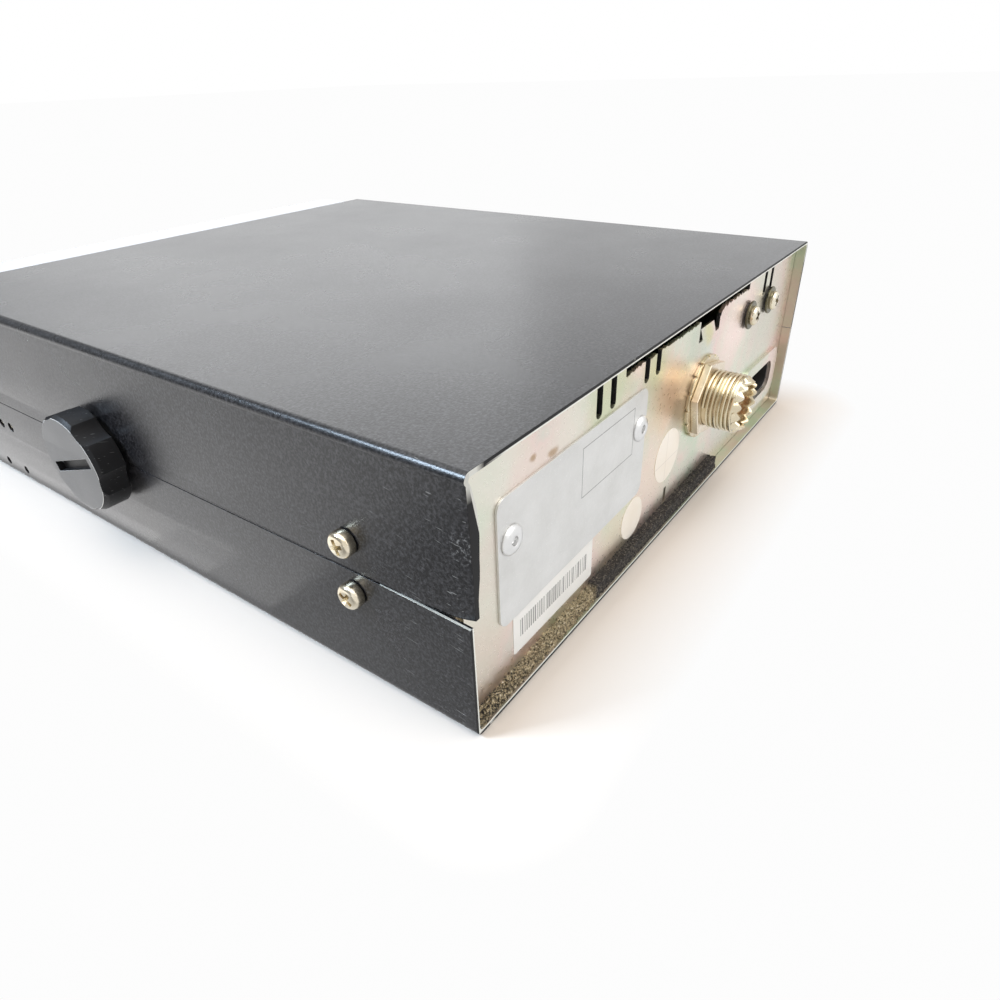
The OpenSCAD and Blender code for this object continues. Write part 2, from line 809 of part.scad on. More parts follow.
module antenna_contact() color([0.8, 0.55, 0.3]) difference() {
    union() {
        at_antenna(ant_back - past) cylinder(h = contact_end - ant_back + past, r = contact_r);
        at_antenna(ant_back - contact_tail) cylinder(h = contact_tail, r = contact_r * 0.6);
    }
    at_antenna(ant_floor - 4) cylinder(h = ant_mouth + 4, r = pin_bore_r);
    for (a = [45, 135]) at_antenna(contact_end - 2.5) rotate(a) translate([-contact_r - past, -0.25, 0]) {
        cube([2 * contact_r + 2 * past, 0.5, 2.5 + past]);
    }
}

module antenna_lock_washer() color(nickel) at_rear(ant_x, ant_z) difference() {
    ring(ant_washer_r, ant_r + ant_gap, ant_washer_t);
    for (i = [0 : 15]) rotate(i * 22.5) translate([ant_washer_r - 0.7, -0.4, -past]) {
        cube([2, 0.8, ant_washer_t + 2 * past]);
    }
}

module antenna_nut() color(nickel) at_rear(ant_x, ant_z) translate([0, 0, ant_washer_t]) rotate(nut_phase) {
    hex_nut(ant_nut_af, ant_r - ant_relief + ant_gap, ant_nut_t);
}

// Power socket: open shell behind the raised part of the panel, three pins in its floor
module power_socket() color(black) translate([power_x, 0, power_z]) difference() {
    towards_front(power_front, power_d) {
        rounded_rect(power_w + power_wall, power_h + power_wall, power_corner);
    }
    towards_front(power_front + past, power_d - power_wall + past) {
        rounded_rect(power_w - power_wall, power_h - power_wall, power_corner - power_wall / 2);
    }
    for (i = [-1 : 1]) translate([i * power_pin_pitch, power_front + past, 0]) rotate([90, 0, 0]) {
        cylinder(h = power_d + 2 * past, r = power_pin_r + ant_gap);
    }
}

module power_pins() color("gold") for (i = [-1 : 1]) {
    at_front(power_x + i * power_pin_pitch, power_z, power_front - power_d + power_wall + power_pin_l) {
        cylinder(h = power_pin_l + power_wall + 2, r = power_pin_r);
    }
}

module speaker_jack() color(black) at_rear(jack_x, jack_z) difference() {
    union() {
        translate([-jack_body / 2, -jack_body / 2, -frame_t - jack_d]) cube([jack_body, jack_body, jack_d]);
        translate([0, 0, -frame_t - past]) cylinder(h = frame_t + past + jack_nut_t + 0.5, r = jack_neck_r);
    }
    translate([0, 0, -frame_t - jack_d + 1]) {
        cylinder(h = jack_d + frame_t + jack_nut_t + past, r = jack_bore_r);
    }
}

module jack_nut() color(nickel) at_rear(jack_x, jack_z) difference() {
    ring(jack_nut_r, jack_neck_r + ant_gap, jack_nut_t);
    translate([-jack_nut_r - past, -0.5, jack_nut_t - 0.7]) cube([2 * jack_nut_r + 2 * past, 1, 1]);
}

module heatsink_screws() color(nickel) for (x = trans_xs) at_rear(x, trans_z) {
    translate([0, 0, shoulder_t]) pan_screw(shoulder_t + frame_t + tab_t + nut_t + 0.6);
}

module shoulder_washers() color([0.15, 0.13, 0.12]) for (x = trans_xs) at_rear(x, trans_z) difference() {
    union() {
        cylinder(h = shoulder_t, r = shoulder_r);
        translate([0, 0, -frame_t]) cylinder(h = frame_t + past / 2, r = collar_r);
    }
    translate([0, 0, -frame_t - past]) cylinder(h = frame_t + shoulder_t + 2 * past, r = screw_hole_r);
}

module power_transistors() color([0.16, 0.16, 0.17]) for (x = trans_xs) translate([x, panel_in, trans_z]) {
    difference() {
        translate([-trans_w / 2, -tab_t, -trans_tab / 2]) cube([trans_w, tab_t, trans_tab]);
        rotate([90, 0, 0]) translate([0, 0, -past]) cylinder(h = tab_t + 2 * past, r = screw_hole_r);
    }
    translate([-trans_w / 2, -trans_t, -trans_tab / 2 - trans_body]) cube([trans_w, trans_t, trans_body]);
    for (i = [-1 : 1]) translate([i * lead_pitch, -trans_t / 2, 0]) {
        translate([0, 0, lead_foot - trans_z]) {
            cylinder(h = trans_z - lead_foot - trans_tab / 2 - 1, r = lead_r);
        }
    }
}

module small_nuts() color(zinc) {
    for (x = trans_xs) translate([x, panel_in - tab_t, trans_z]) rotate([90, 0, 0]) {
        hex_nut(nut_af, screw_hole_r, nut_t);
    }
    for (p = speaker_stud) translate([p[0], p[1], sheet_t + speaker_flange]) {
        hex_nut(nut_af, screw_hole_r, nut_t);
    }
}

// Thumb screws: fluted knob with a coin slot, stud moulded into it, washer under it
module at_thumb(s) {
    at_side(s, thumb_y, seam_z) translate([0, 0, thumb_face - half_w]) children();
}

module thumb_knob(s) color(black) at_thumb(s) difference() {
    union() {
        cylinder(h = thumb_h - 1, r = thumb_r);
        translate([0, 0, thumb_h - 1]) cylinder(h = 1, r1 = thumb_r, r2 = thumb_r - 0.8);
    }
    for (i = [0 : thumb_flutes - 1]) rotate(20 + i * 360 / thumb_flutes) {
        translate([thumb_r + flute_r - flute_depth, 0, -past]) {
            cylinder(h = thumb_h + 2 * past, r = flute_r);
        }
    }
    rotate(s * 108) translate([-coin_l / 2, -coin_w / 2, thumb_h - coin_d]) {
        cube([coin_l, coin_w, coin_d + past]);
    }
    translate([0, 0, -past]) cylinder(h = thumb_h / 2 + past, r = stud_r + stud_gap);
}

module thumb_stud(s) color(nickel) at_thumb(s) translate([0, 0, -stud_l]) {
    cylinder(h = stud_l + thumb_h / 2, r = stud_r);
}

module thumb_washer(s) color([0.12, 0.12, 0.12]) at_side(s, thumb_y, seam_z) translate([0, 0, face_gap]) {
    ring(washer_r, stud_r + 2 * stud_gap, washer_t);
}

module thumb_knob_right() thumb_knob(1);
module thumb_knob_left() thumb_knob(-1);
module thumb_stud_right() thumb_stud(1);
module thumb_stud_left() thumb_stud(-1);
module thumb_washer_right() thumb_washer(1);
module thumb_washer_left() thumb_washer(-1);

module weld_nuts() color(zinc) for (s = [-1, 1]) at_side(s, thumb_y, seam_z) {
    translate([0, 0, frame_in - half_w - weld_t]) rotate(60) hex_nut(weld_af, stud_r + stud_gap, weld_t);
}

// Front bezel: an open-backed silver moulding with window seats, holes and screw posts
module window_cut(x, w) {
    at_front(x, window_z) translate([0, 0, -bezel_t - past]) linear_extrude(bezel_t + 2 * past) {
        rounded_rect(w, window_h, 1.5);
    }
    at_front(x, window_z) translate([0, 0, -lens_t]) linear_extrude(lens_t + past) {
        rounded_rect(w + 2 * lens_lip, window_h + 2 * lens_lip, 2.5);
    }
}

module bezel_hole(x, z, r) {
    at_front(x, z) translate([0, 0, -bezel_t - past]) cylinder(h = bezel_t + 2 * past, r = r);
}

module front_bezel() color(silver) difference() {
    union() {
        translate([0, 0, case_h / 2]) difference() {
            towards_front(front_y, bezel_d) rounded_rect(2 * bezel_hw, bezel_h, bezel_r);
            towards_front(front_y + past, bezel_d - bezel_t + past) {
                rounded_rect(2 * (bezel_hw - bezel_t), bezel_h - 2 * bezel_t, bezel_r - bezel_t);
            }
        }
        for (p = post_places) at_front(p[0], p[1], wall_front) {
            cylinder(h = wall_front - bezel_in + past / 2, r = post_r);
        }
    }
    for (p = post_places) at_front(p[0], p[1], wall_front + past) {
        cylinder(h = inner_screw_l + past, r = post_pilot_r);
    }
    window_cut(meter_x, meter_w);
    window_cut(display_x, display_w);
    for (x = knob_xs) bezel_hole(x, knob_z, shaft_r + pass_gap);
    bezel_hole(channel_x, channel_z, shaft_r + pass_gap);
    bezel_hole(mic_x, mic_z, mic_r + ant_gap);
    for (x = lamp_xs) bezel_hole(x, lamp_z, lamp_r + ant_gap);
    for (x = toggle_xs) at_front(x, window_z, bezel_in + past) linear_extrude(bezel_t + 2 * past) {
        rounded_rect(2 * lever_tip_r + 1, 2 * lever_tip_r + 5, lever_tip_r);
    }
}

module inner_screws() color(zinc) {
    for (p = board_screw_places()) translate([p[0], p[1], board_top]) pan_screw(inner_screw_l - 2);
    for (p = post_places) translate([p[0], wall_back, p[1]]) rotate([-90, 0, 0]) {
        pan_screw(inner_screw_l);
    }
}

module window_lens(x, w) {
    at_front(x, window_z) translate([0, 0, -lens_t]) linear_extrude(lens_t) {
        rounded_rect(w + 2 * (lens_lip - lens_gap), window_h + 2 * (lens_lip - lens_gap), 2.4);
    }
}

module meter_lens() color([0.8, 0.85, 0.9, 0.4]) window_lens(meter_x, meter_w);
module channel_lens() color([0.25, 0.04, 0.04, 0.6]) window_lens(display_x, display_w);

module meter_case() color([0.92, 0.9, 0.84]) translate([meter_x, 0, 0]) {
    difference() {
        translate([-meter_w / 2 - meter_wall, bezel_in, window_z - window_h / 2 - meter_wall]) {
            cube([meter_w + 2 * meter_wall, meter_d, window_h + 2 * meter_wall]);
        }
        translate([-meter_w / 2, bezel_in - past, window_z - window_h / 2]) {
            cube([meter_w, meter_d - meter_wall + past, window_h]);
        }
    }
    translate([0, needle_y - 1.2, pivot_z]) rotate([-90, 0, 0]) {
        cylinder(h = bezel_in + meter_d - meter_wall - needle_y + 1.4, r = pivot_r);
    }
}

module at_pivot() {
    translate([meter_x, needle_y, pivot_z]) rotate([0, -needle_lean, 0]) children();
}

module meter_needle() color("red") at_pivot() difference() {
    union() {
        rotate([-90, 0, 0]) translate([0, 0, -needle_t]) cylinder(h = 3 * needle_t, r = hub_r);
        translate([-needle_w / 2, -needle_t / 2, 0]) cube([needle_w, needle_t, needle_l]);
    }
    rotate([-90, 0, 0]) translate([0, 0, -needle_t - past]) {
        cylinder(h = 3 * needle_t + 2 * past, r = pivot_r + pivot_gap);
    }
}

module channel_display() color([0.2, 0.05, 0.05]) translate([display_x, bezel_in, window_z]) {
    difference() {
        translate([-display_w / 2 - 1, 0, -window_h / 2]) cube([display_w + 2, display_d, window_h]);
        for (s = [-1, 1]) translate([s * display_w / 4 - display_w / 6, -past, -window_h / 3]) {
            cube([display_w / 3, past + 0.6, window_h / 1.5]);
        }
    }
}

// Knob with a skirt, a fluted grip and a pointer groove that leans to zero
module control_knob(x, z, r, l, flutes) color(black) at_front(x, z, knob_back) difference() {
    union() {
        cylinder(h = l * 0.2, r = r);
        translate([0, 0, l * 0.2 - 0.1]) cylinder(h = l * 0.72, r = r * 0.9);
        translate([0, 0, l * 0.92 - 0.2]) cylinder(h = l * 0.08 + 0.2, r1 = r * 0.86, r2 = r * 0.78);
    }
    for (i = [0 : flutes - 1]) rotate(i * 360 / flutes) {
        translate([r * 0.94, 0, l * 0.3]) cylinder(h = l, r = r * 0.09);
    }
    translate([0, 0, -past]) cylinder(h = l - shaft_grip + past, r = shaft_r + shaft_gap);
    rotate(150) translate([-0.5, r * 0.3, l - 0.7]) cube([1, r * 0.4, past + 0.7]);
}

module control_shaft(x, z, l, back) color(nickel) at_front(x, z, back) {
    cylinder(h = back - knob_back + l - shaft_grip - face_gap, r = shaft_r);
}

module channel_knob() control_knob(channel_x, channel_z, channel_r, channel_l, 24);
module volume_knob() control_knob(knob_xs[0], knob_z, knob_r, knob_l, 18);
module squelch_knob() control_knob(knob_xs[1], knob_z, knob_r, knob_l, 18);
module gain_knob() control_knob(knob_xs[2], knob_z, knob_r, knob_l, 18);
module channel_shaft() control_shaft(channel_x, channel_z, channel_l, shaft_back);
module volume_shaft() control_shaft(knob_xs[0], knob_z, knob_l, shaft_back);
module squelch_shaft() control_shaft(knob_xs[1], knob_z, knob_l, shaft_back);
module gain_shaft() control_shaft(knob_xs[2], knob_z, knob_l, shaft_back);

// Threaded neck through the front wall with a bore for the shaft
module neck_and_bore() {
    difference() {
        union() {
            children();
            translate([0, 0, -past]) cylinder(h = frame_t + neck_l + past, r = neck_r);
        }
        translate([0, 0, -shaft_deep - face_gap]) {
            cylinder(h = shaft_deep + face_gap + frame_t + neck_l + past, r = shaft_r + shaft_gap);
        }
    }
}

module control_pots() color([0.55, 0.56, 0.55]) for (x = knob_xs) at_front(x, knob_z, wall_back) {
    neck_and_bore() translate([0, 0, -pot_d]) cylinder(h = pot_d, r = pot_r);
}

module channel_switch() color([0.5, 0.5, 0.48]) at_front(channel_x, channel_z, wall_back) neck_and_bore() {
    translate([-switch_w / 2, -switch_w / 2, -switch_d]) cube([switch_w, switch_w, switch_d]);
}

module control_nuts() color(zinc) {
    for (x = knob_xs) at_front(x, knob_z, wall_front) hex_nut(neck_nut_af, neck_r + ant_gap, neck_nut_t);
    at_front(channel_x, channel_z, wall_front) hex_nut(neck_nut_af, neck_r + ant_gap, neck_nut_t);
}

// Toggle lever on two trunnions, tilted down at rest
module toggle_lever(i) color(nickel) translate([toggle_xs[i], toggle_pivot_y, window_z]) {
    rotate([0, 90, 0]) cylinder(h = toggle_w - toggle_wall, r = trunnion_r, center = true);
    rotate([0, 90, 0]) cylinder(h = toggle_w - 2 * toggle_wall - 2 * face_gap, r = barrel_r, center = true);
    rotate([90 + toggle_tilt, 0, 0]) {
        cylinder(h = toggle_pivot_y - bezel_face + lever_out, r1 = lever_root_r, r2 = lever_tip_r);
    }
}

module toggle_lever_1() toggle_lever(0);
module toggle_lever_2() toggle_lever(1);

module toggle_bodies() color(black) for (x = toggle_xs) translate([x, bezel_in, window_z]) difference() {
    translate([-toggle_w / 2, 0, -toggle_h / 2]) cube([toggle_w, toggle_d, toggle_h]);
    translate([-toggle_w / 2 + toggle_wall, -past, -toggle_h / 2 + toggle_wall]) {
        cube([toggle_w - 2 * toggle_wall, toggle_d - toggle_wall + past, toggle_h - 2 * toggle_wall]);
    }
    translate([0, toggle_pivot_y - bezel_in, 0]) rotate([0, 90, 0]) {
        cylinder(h = toggle_w + 2 * past, r = trunnion_r + pivot_gap, center = true);
    }
}

module mic_socket() color(nickel) at_front(mic_x, mic_z) difference() {
    union() {
        cylinder(h = mic_rim_t, r = mic_rim_r);
        translate([0, 0, -bezel_d + mic_stop]) cylinder(h = bezel_d - mic_stop + past / 2, r = mic_r);
    }
    translate([0, 0, mic_rim_t - mic_deep]) cylinder(h = mic_deep + past, r = mic_bore_r);
    translate([-key_w / 2, mic_bore_r - key_h / 3, mic_rim_t - mic_deep]) {
        cube([key_w, key_h, mic_deep + past]);
    }
    for (a = [45 : 90 : 315]) rotate(a) translate([mic_pin_ring, 0, -bezel_d]) {
        cylinder(h = bezel_d, r = mic_pin_r + ant_gap);
    }
}

module mic_pins() color("gold") at_front(mic_x, mic_z) for (a = [45 : 90 : 315]) rotate(a) {
    translate([mic_pin_ring, 0, -bezel_d + mic_pin_stop]) {
        cylinder(h = bezel_d - mic_pin_stop + mic_rim_t - mic_deep + mic_pin_l, r = mic_pin_r);
    }
}

module mic_nut() color(zinc) at_front(mic_x, mic_z) translate([0, 0, -bezel_t - 2.5]) {
    hex_nut(2 * mic_rim_r, mic_r + ant_gap, 2.5);
}

module indicator_lamps() color([0.7, 0.1, 0.1]) for (x = lamp_xs) at_front(x, lamp_z) {
    translate([0, 0, -bezel_t]) cylinder(h = bezel_t + 0.3, r = lamp_r);
    translate([0, 0, 0.3]) cylinder(h = 0.5, r1 = lamp_r, r2 = lamp_r * 0.6);
    translate([0, 0, -bezel_t - 4]) cylinder(h = 4, r = lamp_r + 0.5);
}

// Board and the pieces on it
module main_board() color([0.1, 0.35, 0.2]) difference() {
    translate([-board_hw, board_y0, board_z]) cube([2 * board_hw, board_y1 - board_y0, board_t]);
    for (p = board_screw_places()) translate([p[0], p[1], board_z - past]) {
        cylinder(h = board_t + 2 * past, r = screw_hole_r);
    }
}

module coil_cans() color(silver) for (i = [0 : 4], j = [0 : 1]) {
    translate([can_x + i * can_pitch, board_y1 - can_rear - j * can_row, board_top]) {
        cube([can_w, can_w, can_h]);
    }
}

module capacitors() color([0.1, 0.15, 0.3]) for (i = [0 : 1], j = [0 : 2]) {
    translate([cap_x + i * cap_pitch, cap_y + j * cap_row, board_top]) {
        cylinder(h = cap_h - 2 * j * cap_step, r = cap_r - j * cap_step);
    }
}

module speaker_frame() color([0.3, 0.3, 0.31]) translate([0, speaker_y, sheet_t]) difference() {
    rotate_extrude() {
        translate([speaker_r - 6, 0]) square([6, speaker_flange]);
        polygon([[speaker_r - 6, 0], [speaker_r - 4.6, 0], [magnet_r, basket_h], [magnet_r, speaker_h],
            [0, speaker_h], [0, basket_h], [magnet_r - 1.5, basket_h]]);
    }
    for (p = speaker_stud) translate([p[0], p[1] - speaker_y, -past]) {
        cylinder(h = speaker_flange + 2 * past, r = screw_hole_r);
    }
}

module speaker_cone() color([0.12, 0.11, 0.1]) translate([0, speaker_y, sheet_t]) rotate_extrude() {
    polygon([[dust_r, basket_h - 1.25 * cone_t], [speaker_r - cone_edge, 0.75 * cone_t],
        [speaker_r - cone_edge + 2 * cone_t, 0.75 * cone_t], [dust_r + 1.5 * cone_t, basket_h - cone_t / 4],
        [0, basket_h - cone_t / 4], [0, basket_h - 1.25 * cone_t]]);
}

top_cover();
bottom_cover();
cover_screws();
chassis_frame();
rear_panel();
foam_strip();
data_plate();
plate_rivets();
paper_label();
round_stickers();
antenna_socket();
antenna_insulator();
antenna_contact();
antenna_lock_washer();
antenna_nut();
power_socket();
power_pins();
speaker_jack();
jack_nut();
heatsink_screws();
shoulder_washers();
power_transistors();
small_nuts();
thumb_knob_right();
thumb_knob_left();
thumb_stud_right();
thumb_stud_left();
thumb_washer_right();
thumb_washer_left();
weld_nuts();
front_bezel();
inner_screws();
meter_lens();
meter_case();
meter_needle();
channel_lens();
channel_display();
channel_knob();
channel_shaft();
channel_switch();
volume_knob();
squelch_knob();
gain_knob();
volume_shaft();
squelch_shaft();
gain_shaft();
control_pots();
control_nuts();
toggle_lever_1();
toggle_lever_2();
toggle_bodies();
mic_socket();
mic_pins();
mic_nut();
indicator_lamps();
main_board();
coil_cans();
capacitors();
speaker_frame();
speaker_cone();
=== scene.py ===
import bmesh
import bpy
import json
import math
from mathutils import Matrix, Vector, noise

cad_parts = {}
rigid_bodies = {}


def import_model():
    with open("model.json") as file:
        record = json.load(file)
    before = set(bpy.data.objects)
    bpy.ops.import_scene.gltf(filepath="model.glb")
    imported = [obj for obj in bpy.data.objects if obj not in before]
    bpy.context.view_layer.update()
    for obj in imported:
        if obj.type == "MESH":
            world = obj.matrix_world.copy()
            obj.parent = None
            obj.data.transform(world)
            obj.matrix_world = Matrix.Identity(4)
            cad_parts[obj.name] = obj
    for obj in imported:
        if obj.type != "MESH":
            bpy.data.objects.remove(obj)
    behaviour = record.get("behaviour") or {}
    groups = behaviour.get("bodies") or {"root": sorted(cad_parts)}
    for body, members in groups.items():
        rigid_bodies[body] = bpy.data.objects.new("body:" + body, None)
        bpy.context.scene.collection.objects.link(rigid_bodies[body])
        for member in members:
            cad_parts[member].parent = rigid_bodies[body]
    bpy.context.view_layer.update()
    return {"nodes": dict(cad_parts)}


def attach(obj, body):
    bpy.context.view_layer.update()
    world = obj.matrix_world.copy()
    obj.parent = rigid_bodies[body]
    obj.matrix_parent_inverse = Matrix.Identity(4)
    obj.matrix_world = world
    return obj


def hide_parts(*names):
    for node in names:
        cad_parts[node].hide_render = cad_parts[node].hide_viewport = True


mm = 0.001
caseHalf, caseHeight, seamHeight, panelFace = 92, 57, 28, 100  # of the solids, in mm
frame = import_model()
cadNodes = frame["nodes"]
scene = bpy.context.scene
scene.view_settings.view_transform = "Standard"
print("frame loaded,", len(cadNodes), "nodes")

# camera, matched to the rear corner of the case
cameraView = {
    "place": (0.15915, 0.15994, 0.10757), "yaw": -2.50396698, "pitch": 0.555686994, "roll": -0.0342326634,
    "lens": 24.992, "sensor": 36, "clip": (0.005, 50)}


def makeCamera(v):
    ahead = Vector((math.cos(v["yaw"]) * math.cos(v["pitch"]), math.sin(v["yaw"]) * math.cos(v["pitch"]),
                    -math.sin(v["pitch"])))
    right = Vector((math.sin(v["yaw"]), -math.cos(v["yaw"]), 0))
    up = right.cross(ahead)
    c, s = math.cos(v["roll"]), math.sin(v["roll"])
    right, up = right * c + up * s, up * c - right * s
    data = bpy.data.cameras.new("camera")
    data.lens, data.sensor_width, data.sensor_fit = v["lens"], v["sensor"], "HORIZONTAL"
    data.clip_start, data.clip_end = v["clip"]
    camera = bpy.data.objects.new("camera", data)
    camera.matrix_world = Matrix.Translation(v["place"]) @ Matrix((right, up, -ahead)).transposed().to_4x4()
    scene.collection.objects.link(camera)
    scene.camera = camera


makeCamera(cameraView)


# node helpers; a value that is itself a socket gets linked
def give(tree, socket, value):
    if isinstance(value, bpy.types.NodeSocket):
        tree.links.new(value, socket)
    elif isinstance(value, tuple) and len(value) < len(socket.default_value):
        socket.default_value = (*value, 1)
    else:
        socket.default_value = value


def addNode(tree, kind, values=None, **settings):
    node = tree.nodes.new(kind)
    for key, value in settings.items():
        setattr(node, key, value)
    for key, value in (values or {}).items():
        give(tree, node.inputs[key], value)
    return node


def mathNode(tree, operation, a, b=0.0, clamp=False):
    return addNode(tree, "ShaderNodeMath", {0: a, 1: b}, operation=operation, use_clamp=clamp).outputs[0]


def vectorNode(tree, operation, *values):
    node = addNode(tree, "ShaderNodeVectorMath", dict(enumerate(values)), operation=operation)
    return node.outputs["Value" if operation in ("DISTANCE", "LENGTH", "DOT_PRODUCT") else "Vector"]


def rangeNode(tree, value, low, high, toLow=0.0, toHigh=1.0, **settings):
    values = {"Value": value, "From Min": low, "From Max": high, "To Min": toLow, "To Max": toHigh}
    return addNode(tree, "ShaderNodeMapRange", values, **settings).outputs["Result"]


def shaderGroup(name, outputs, **inputs):
    tree = bpy.data.node_groups.new(name, "ShaderNodeTree")
    for key, value in {"Place": (0, 0, 0), **inputs}.items():
        kind = "NodeSocketVector" if isinstance(value, tuple) else "NodeSocketFloat"
        tree.interface.new_socket(key, in_out="INPUT", socket_type=kind).default_value = value
    for key in outputs:
        tree.interface.new_socket(key, in_out="OUTPUT", socket_type="NodeSocketFloat")
    return tree, tree.nodes.new("NodeGroupInput").outputs, tree.nodes.new("NodeGroupOutput").inputs


def grainGroup():
    tree, given, result = shaderGroup("fineGrain", ("Height", "Speck", "Cloud"), Scale=2500, Blotch=40)
    fine, cloud = (
        addNode(tree, "ShaderNodeTexNoise", {"Vector": given["Place"], "Scale": given[scale], "Detail": detail,
                                             "Roughness": roughness}).outputs[0]
        for scale, detail, roughness in (("Scale", 2, 0.6), ("Blotch", 4, 0.55)))
    for key, value in (("Height", fine), ("Speck", rangeNode(tree, fine, 0.66, 0.78)), ("Cloud", cloud)):
        tree.links.new(value, result[key])
    return tree


def scratchGroup():
    tree, given, result = shaderGroup("scratches", ("Mask",), Length=60, Fineness=2400, Turn=0.5, Amount=0.05)
    turn = addNode(tree, "ShaderNodeVectorRotate", {"Vector": given["Place"], "Angle": given["Turn"],
                                                    "Axis": (0.5, 0.6, 0.6)}, rotation_type="AXIS_ANGLE")
    stretch = addNode(tree, "ShaderNodeCombineXYZ", {0: given["Length"], 1: given["Fineness"], 2: given["Fineness"]})
    scaled = vectorNode(tree, "MULTIPLY", turn.outputs[0], stretch.outputs[0])
    lines = addNode(tree, "ShaderNodeTexNoise", {"Vector": scaled, "Scale": 1, "Detail": 0})
    edge = mathNode(tree, "SUBTRACT", 0.8, given["Amount"])
    mask = mathNode(tree, "MULTIPLY", mathNode(tree, "SUBTRACT", lines.outputs[0], edge), 20, clamp=True)
    tree.links.new(mask, result["Mask"])
    return tree


# soft round mask about a centre
def spotGroup():
    tree, given, result = shaderGroup("softSpot", ("Mask",), Centre=(0, 0, 0), Radius=0.01)
    apart = vectorNode(tree, "DISTANCE", given["Place"], given["Centre"])
    share = mathNode(tree, "DIVIDE", apart, given["Radius"])
    tree.links.new(rangeNode(tree, share, 1.0, 0.25, interpolation_type="SMOOTHSTEP"), result["Mask"])
    return tree


# thin outline of a box in the XZ plane; a box with no width gives one line
def outlineGroup():
    tree, given, result = shaderGroup("boxOutline", ("Mask",), Centre=(0, 0, 0), Half=(0.01, 1, 0.01), Width=0.0002)
    off = vectorNode(tree, "ABSOLUTE", vectorNode(tree, "SUBTRACT", given["Place"], given["Centre"]))
    split = addNode(tree, "ShaderNodeSeparateXYZ", {0: vectorNode(tree, "SUBTRACT", off, given["Half"])}).outputs
    edge = mathNode(tree, "ABSOLUTE", mathNode(tree, "MAXIMUM", split[0], split[2]))
    tree.links.new(mathNode(tree, "LESS_THAN", edge, given["Width"]), result["Mask"])
    return tree


grainTree, scratchTree, spotTree, outlineTree = grainGroup(), scratchGroup(), spotGroup(), outlineGroup()


class Finish:
    def __init__(self, name, **values):
        self.material = bpy.data.materials.new(name)
        self.material.use_nodes = True
        self.tree = self.material.node_tree
        self.shader = self.tree.nodes["Principled BSDF"]
        self.place = addNode(self.tree, "ShaderNodeTexCoord").outputs["Object"]
        for key, value in values.items():
            self.feed(key.replace("_", " "), value)

    def feed(self, socket, value):
        give(self.tree, self.shader.inputs[socket], value)

    def group(self, tree, **values):
        return addNode(self.tree, "ShaderNodeGroup", {"Place": self.place, **values}, node_tree=tree).outputs

    def grain(self, scale, blotch):
        return self.group(grainTree, Scale=scale, Blotch=blotch)

    def scratches(self, length, fineness, turn, amount):
        return self.group(scratchTree, Length=length, Fineness=fineness, Turn=turn, Amount=amount)["Mask"]

    def spot(self, centre, radius):
        return self.group(spotTree, Centre=tuple(c * mm for c in centre), Radius=radius * mm)["Mask"]

    def outline(self, x, z, wide, tall, width):
        return self.group(outlineTree, Centre=(x * mm, 0, z * mm), Half=(wide * mm, 1, tall * mm),
                          Width=width * mm)["Mask"]

    def axis(self, index):
        return addNode(self.tree, "ShaderNodeSeparateXYZ", {0: self.place}).outputs[index]

    def math(self, operation, a, b=0.0):
        return mathNode(self.tree, operation, a, b)

    def product(self, a, b):
        return self.math("MULTIPLY", a, b)

    def either(self, a, b):
        return self.math("MAXIMUM", a, b)

    def mixed(self, factor, a, b, blend="MIX"):
        node = addNode(self.tree, "ShaderNodeMix", {0: factor, 6: a, 7: b}, data_type="RGBA", blend_type=blend)
        return node.outputs[2]

    def ranged(self, value, low, high, toLow=0.0, toHigh=1.0):
        return rangeNode(self.tree, value, low, high, toLow, toHigh)

    # a range along one axis, its ends in mm
    def along(self, index, low, high, toLow=0.0, toHigh=1.0):
        return self.ranged(self.axis(index), low * mm, high * mm, toLow, toHigh)

    def roughen(self, value, low, high):
        self.feed("Roughness", self.ranged(value, 0.3, 0.7, low, high))

    def ramp(self, value, stops):
        node = addNode(self.tree, "ShaderNodeValToRGB", {0: value})
        while len(node.color_ramp.elements) < len(stops):
            node.color_ramp.elements.new(0.5)
        for element, (at, colour) in zip(node.color_ramp.elements, stops):
            element.position, element.color = at, (*colour, 1)
        return node.outputs[0]

    def done(self, colour, height, bump, distance=0.0001):
        self.feed("Base Color", colour)
        node = addNode(self.tree, "ShaderNodeBump", {"Strength": bump, "Distance": distance, "Height": height})
        self.feed("Normal", node.outputs[0])
        return self.material


# satin black paint of the covers, finely grained, scuffed by the rear edge of the +X wall
coverPaint = {
    "base": (0.003, 0.003, 0.004), "pale": (0.042, 0.041, 0.044), "roughness": 0.28, "specular": 0.46,
    "grain": 2400, "mottle": 1600, "blotch": 26, "bump": 0.3, "scuff": (0.32, 0.32, 0.31),
    "scratch": (330, 3600, -1.926, 0.02), "scuffY": (76, 100), "wallX": (86, 88), "patch": (89.5, 102, 43),
    "patchRadius": 4.2}


def paintFinish(s):
    f = Finish("coverPaint", Specular_IOR_Level=s["specular"])
    g = f.grain(s["grain"], s["blotch"])
    mottle = f.grain(s["mottle"], s["blotch"])["Height"]
    rear = f.product(f.along(1, *s["scuffY"]), f.along(0, *s["wallX"]))
    scuffs = f.product(rear, f.product(f.scratches(*s["scratch"]), 0.5))
    patch = f.product(f.spot(s["patch"], s["patchRadius"]), f.ranged(mottle, 0.56, 0.66, 0, 0.55))
    tone = f.mixed(f.ranged(mottle, 0.42, 0.75), s["base"], s["pale"])
    f.roughen(g["Cloud"], s["roughness"] - 0.02, s["roughness"] + 0.03)
    return f.done(f.mixed(f.either(scuffs, patch), tone, s["scuff"]), g["Height"], s["bump"])


